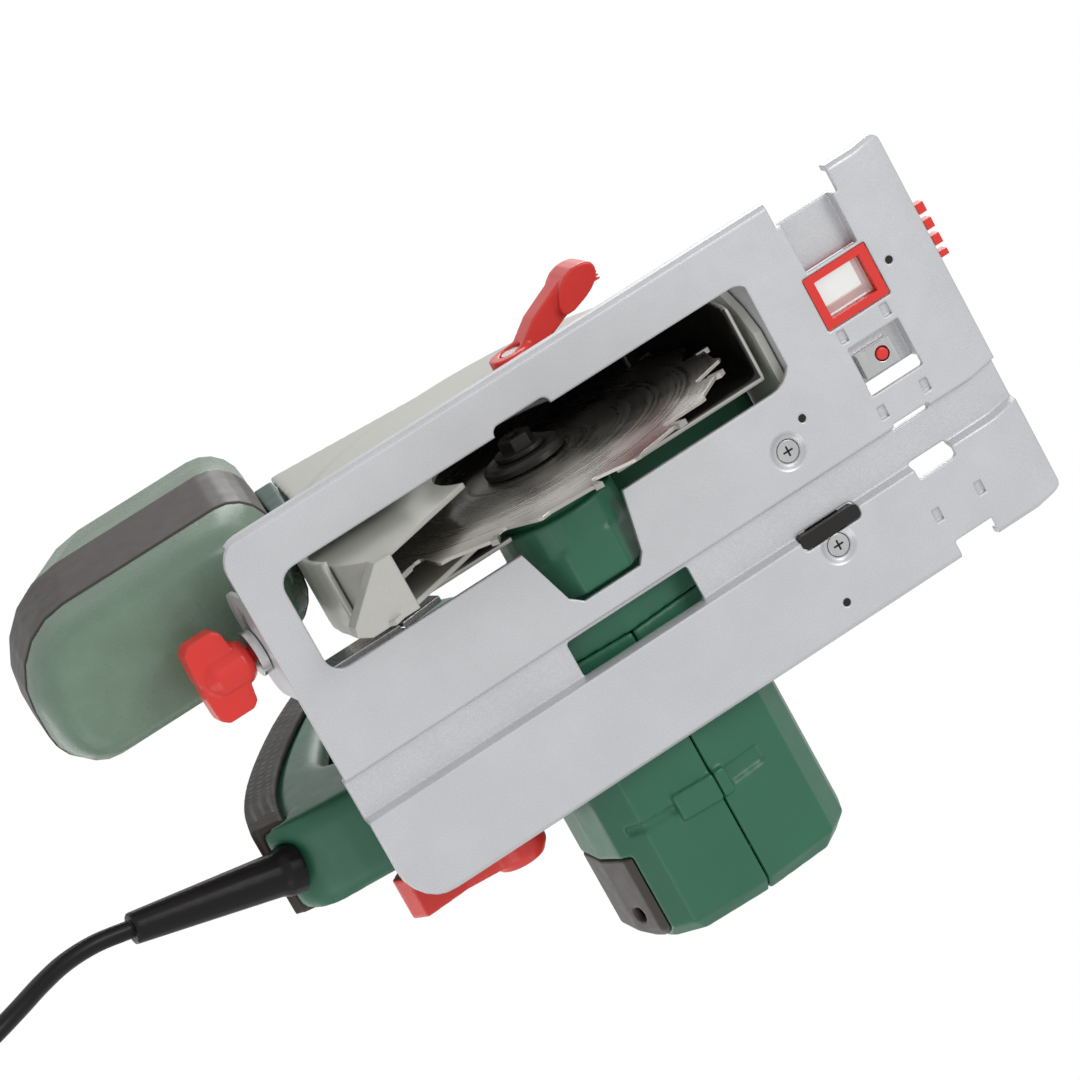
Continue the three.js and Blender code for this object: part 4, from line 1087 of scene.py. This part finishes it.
@dataclass
class Housings:
    """The moulded housings, the handle and its grip."""

    shop: Shop
    flanks: tuple[float, float] = (34, 70)
    middle_y: float = 52
    # Size of the black ovals that paint the shade in the grip's dimples.
    dimple_radius: float = 1.0
    dimple_stretch: float = 1.5
    back_ys: tuple[float, ...] = (-11, -6.6, -2.2, 2.2, 6.6, 11)
    flank_depths: tuple[float, ...] = (2.6, 6.2, 9.8)
    stagger: float = 2.5

    SPINE: ClassVar[list[tuple[float, float]]] = [
        (-170, 68), (-165, 90), (-151, 126), (-127, 166), (-106, 192),
    ]

    def build(self) -> None:
        """Dresses the housings, the handles and the cord's sleeve."""
        mould = self.shop.mould
        mould(["gear_housing"], GREEN, 0.9, 2)
        mould(["motor_shell_front"], GREEN, 0.8, 4)
        mould(["motor_shell_rear"], GREEN, 0.8, 4)
        mould(["brush_cover"], CHARCOAL, 0.7, 3)
        mould(["handle_half_right", "handle_half_left"], GREEN, 1.2, 12, "handle", self.flanks, 6)
        self.dimples(mould(["soft_grip"], GRIP, 0.8, 14))
        mould(["auxiliary_handle"], CHARCOAL, 1.0, 10)
        mould(["cord_sleeve"], CORD_RUBBER, 0.6, 10)

    def dimples(self, grip: bpy.types.Object) -> None:
        """Paints shade where the grip's dimples are: rows of small black ovals over its back and flanks.

        Args:
            grip: the grip's piece, which the dimples lie on.
        """
        back = smooth_through([Vector((x, 0, z)) * MM for x, z in self.SPINE], 8)
        places = []
        for i, point in enumerate(back):
            ahead = (back[min(i + 1, len(back) - 1)] - back[max(i - 1, 0)]).normalized()
            for start, way in self.rays(point, ahead):
                hit, where, normal, _ = grip.ray_cast(start, way, distance=0.05)
                if hit and normal.dot(way) < -0.3:
                    places.append((where, normal))
        self.shop.dots("grip_dimple_shade", places, self.dimple_radius, BLACK, "saw", self.dimple_stretch,
                       Vector((0.5, 0, 0.86)))

    def rays(self, point: Vector, ahead: Vector) -> list[tuple[Vector, Vector]]:
        """The lines that find one row of dimples, from the back and from both flanks.

        Args:
            point: a point on the grip's spine, in metres.
            ahead: the spine's direction there.
        Returns:
            Each line's start and direction.
        """
        inward = Vector((ahead.z, 0, -ahead.x))
        half = ahead * (self.stagger * MM)
        rays = [(point + Vector((0, (self.middle_y + y) * MM, 0)) - inward * 25 * MM + half * (k % 2), inward)
                for k, y in enumerate(self.back_ys)]
        for side in (-1, 1):
            beside = Vector((0, (self.middle_y + side * 32) * MM, 0))
            rays += [(point + inward * deep * MM + beside + half * (k % 2), Vector((0, -side, 0)))
                     for k, deep in enumerate(self.flank_depths)]
        return rays


@dataclass
class DustBox:
    """The dust box: two cloudy shells, the belt around them, the neck and two inner ribs."""

    shop: Shop
    merge: float = 0.35
    rib_z: tuple[float, float] = (38, 44)

    def build(self) -> None:
        """Dresses the box's shells, belt and neck, and adds the ribs."""
        for node in ("dust_box_upper", "dust_box_lower"):
            bm = copy_of([node], self.shop.frame)
            bmesh.ops.remove_doubles(bm, verts=bm.verts, dist=self.merge * MM)
            bmesh.ops.dissolve_degenerate(bm, edges=bm.edges, dist=0.1 * MM)
            self.shop.dress(from_bmesh(node + "_look", bm, 62), SMOKED, [node])
        self.shop.mould(["dust_box_band"], CHARCOAL, 0.9, 3)
        self.shop.mould(["dust_neck"], DARK_GREEN, 0.8, 4)
        ribs = [(-196.4, -195.6, -64, -28, *self.rib_z), (-150.4, -149.6, -64, -46, *self.rib_z)]
        self.shop.trim(blocks("dust_box_ribs", ribs), DARK_GREEN, "dust_box")


@dataclass
class Insides:
    """Pieces inside the housings, shown as they are."""

    shop: Shop

    SHOWN: ClassVar[dict[Finish, list[str]]] = {
        STEEL: ["spindle", "drive_gear", "spindle_bearing", "front_armature_bearing",
                "rear_armature_bearing", "guard_spring"],
        DARK_STEEL: ["stator"],
        COPPER: ["armature", "commutator"],
        BLACK: ["cooling_fan", "brush_plate", "bearing_cap", "main_switch"],
        CARBON: ["carbon_brush_front", "carbon_brush_rear"],
    }

    def build(self) -> None:
        """Gives each inner piece its finish."""
        for finish, nodes in self.SHOWN.items():
            for node in nodes:
                self.shop.keep(node, finish)


def main() -> None:
    """Builds the looks in order."""
    logging.basicConfig(level=logging.INFO)
    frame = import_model()
    Studio().build()
    shop = Shop(frame)
    for sub_assembly in (Cord, Sole, Blade, Guards, Controls, Housings, DustBox, Insides):
        LOG.info("building %s", sub_assembly.__name__)
        sub_assembly(shop).build()


if __name__ == "__main__":
    main()
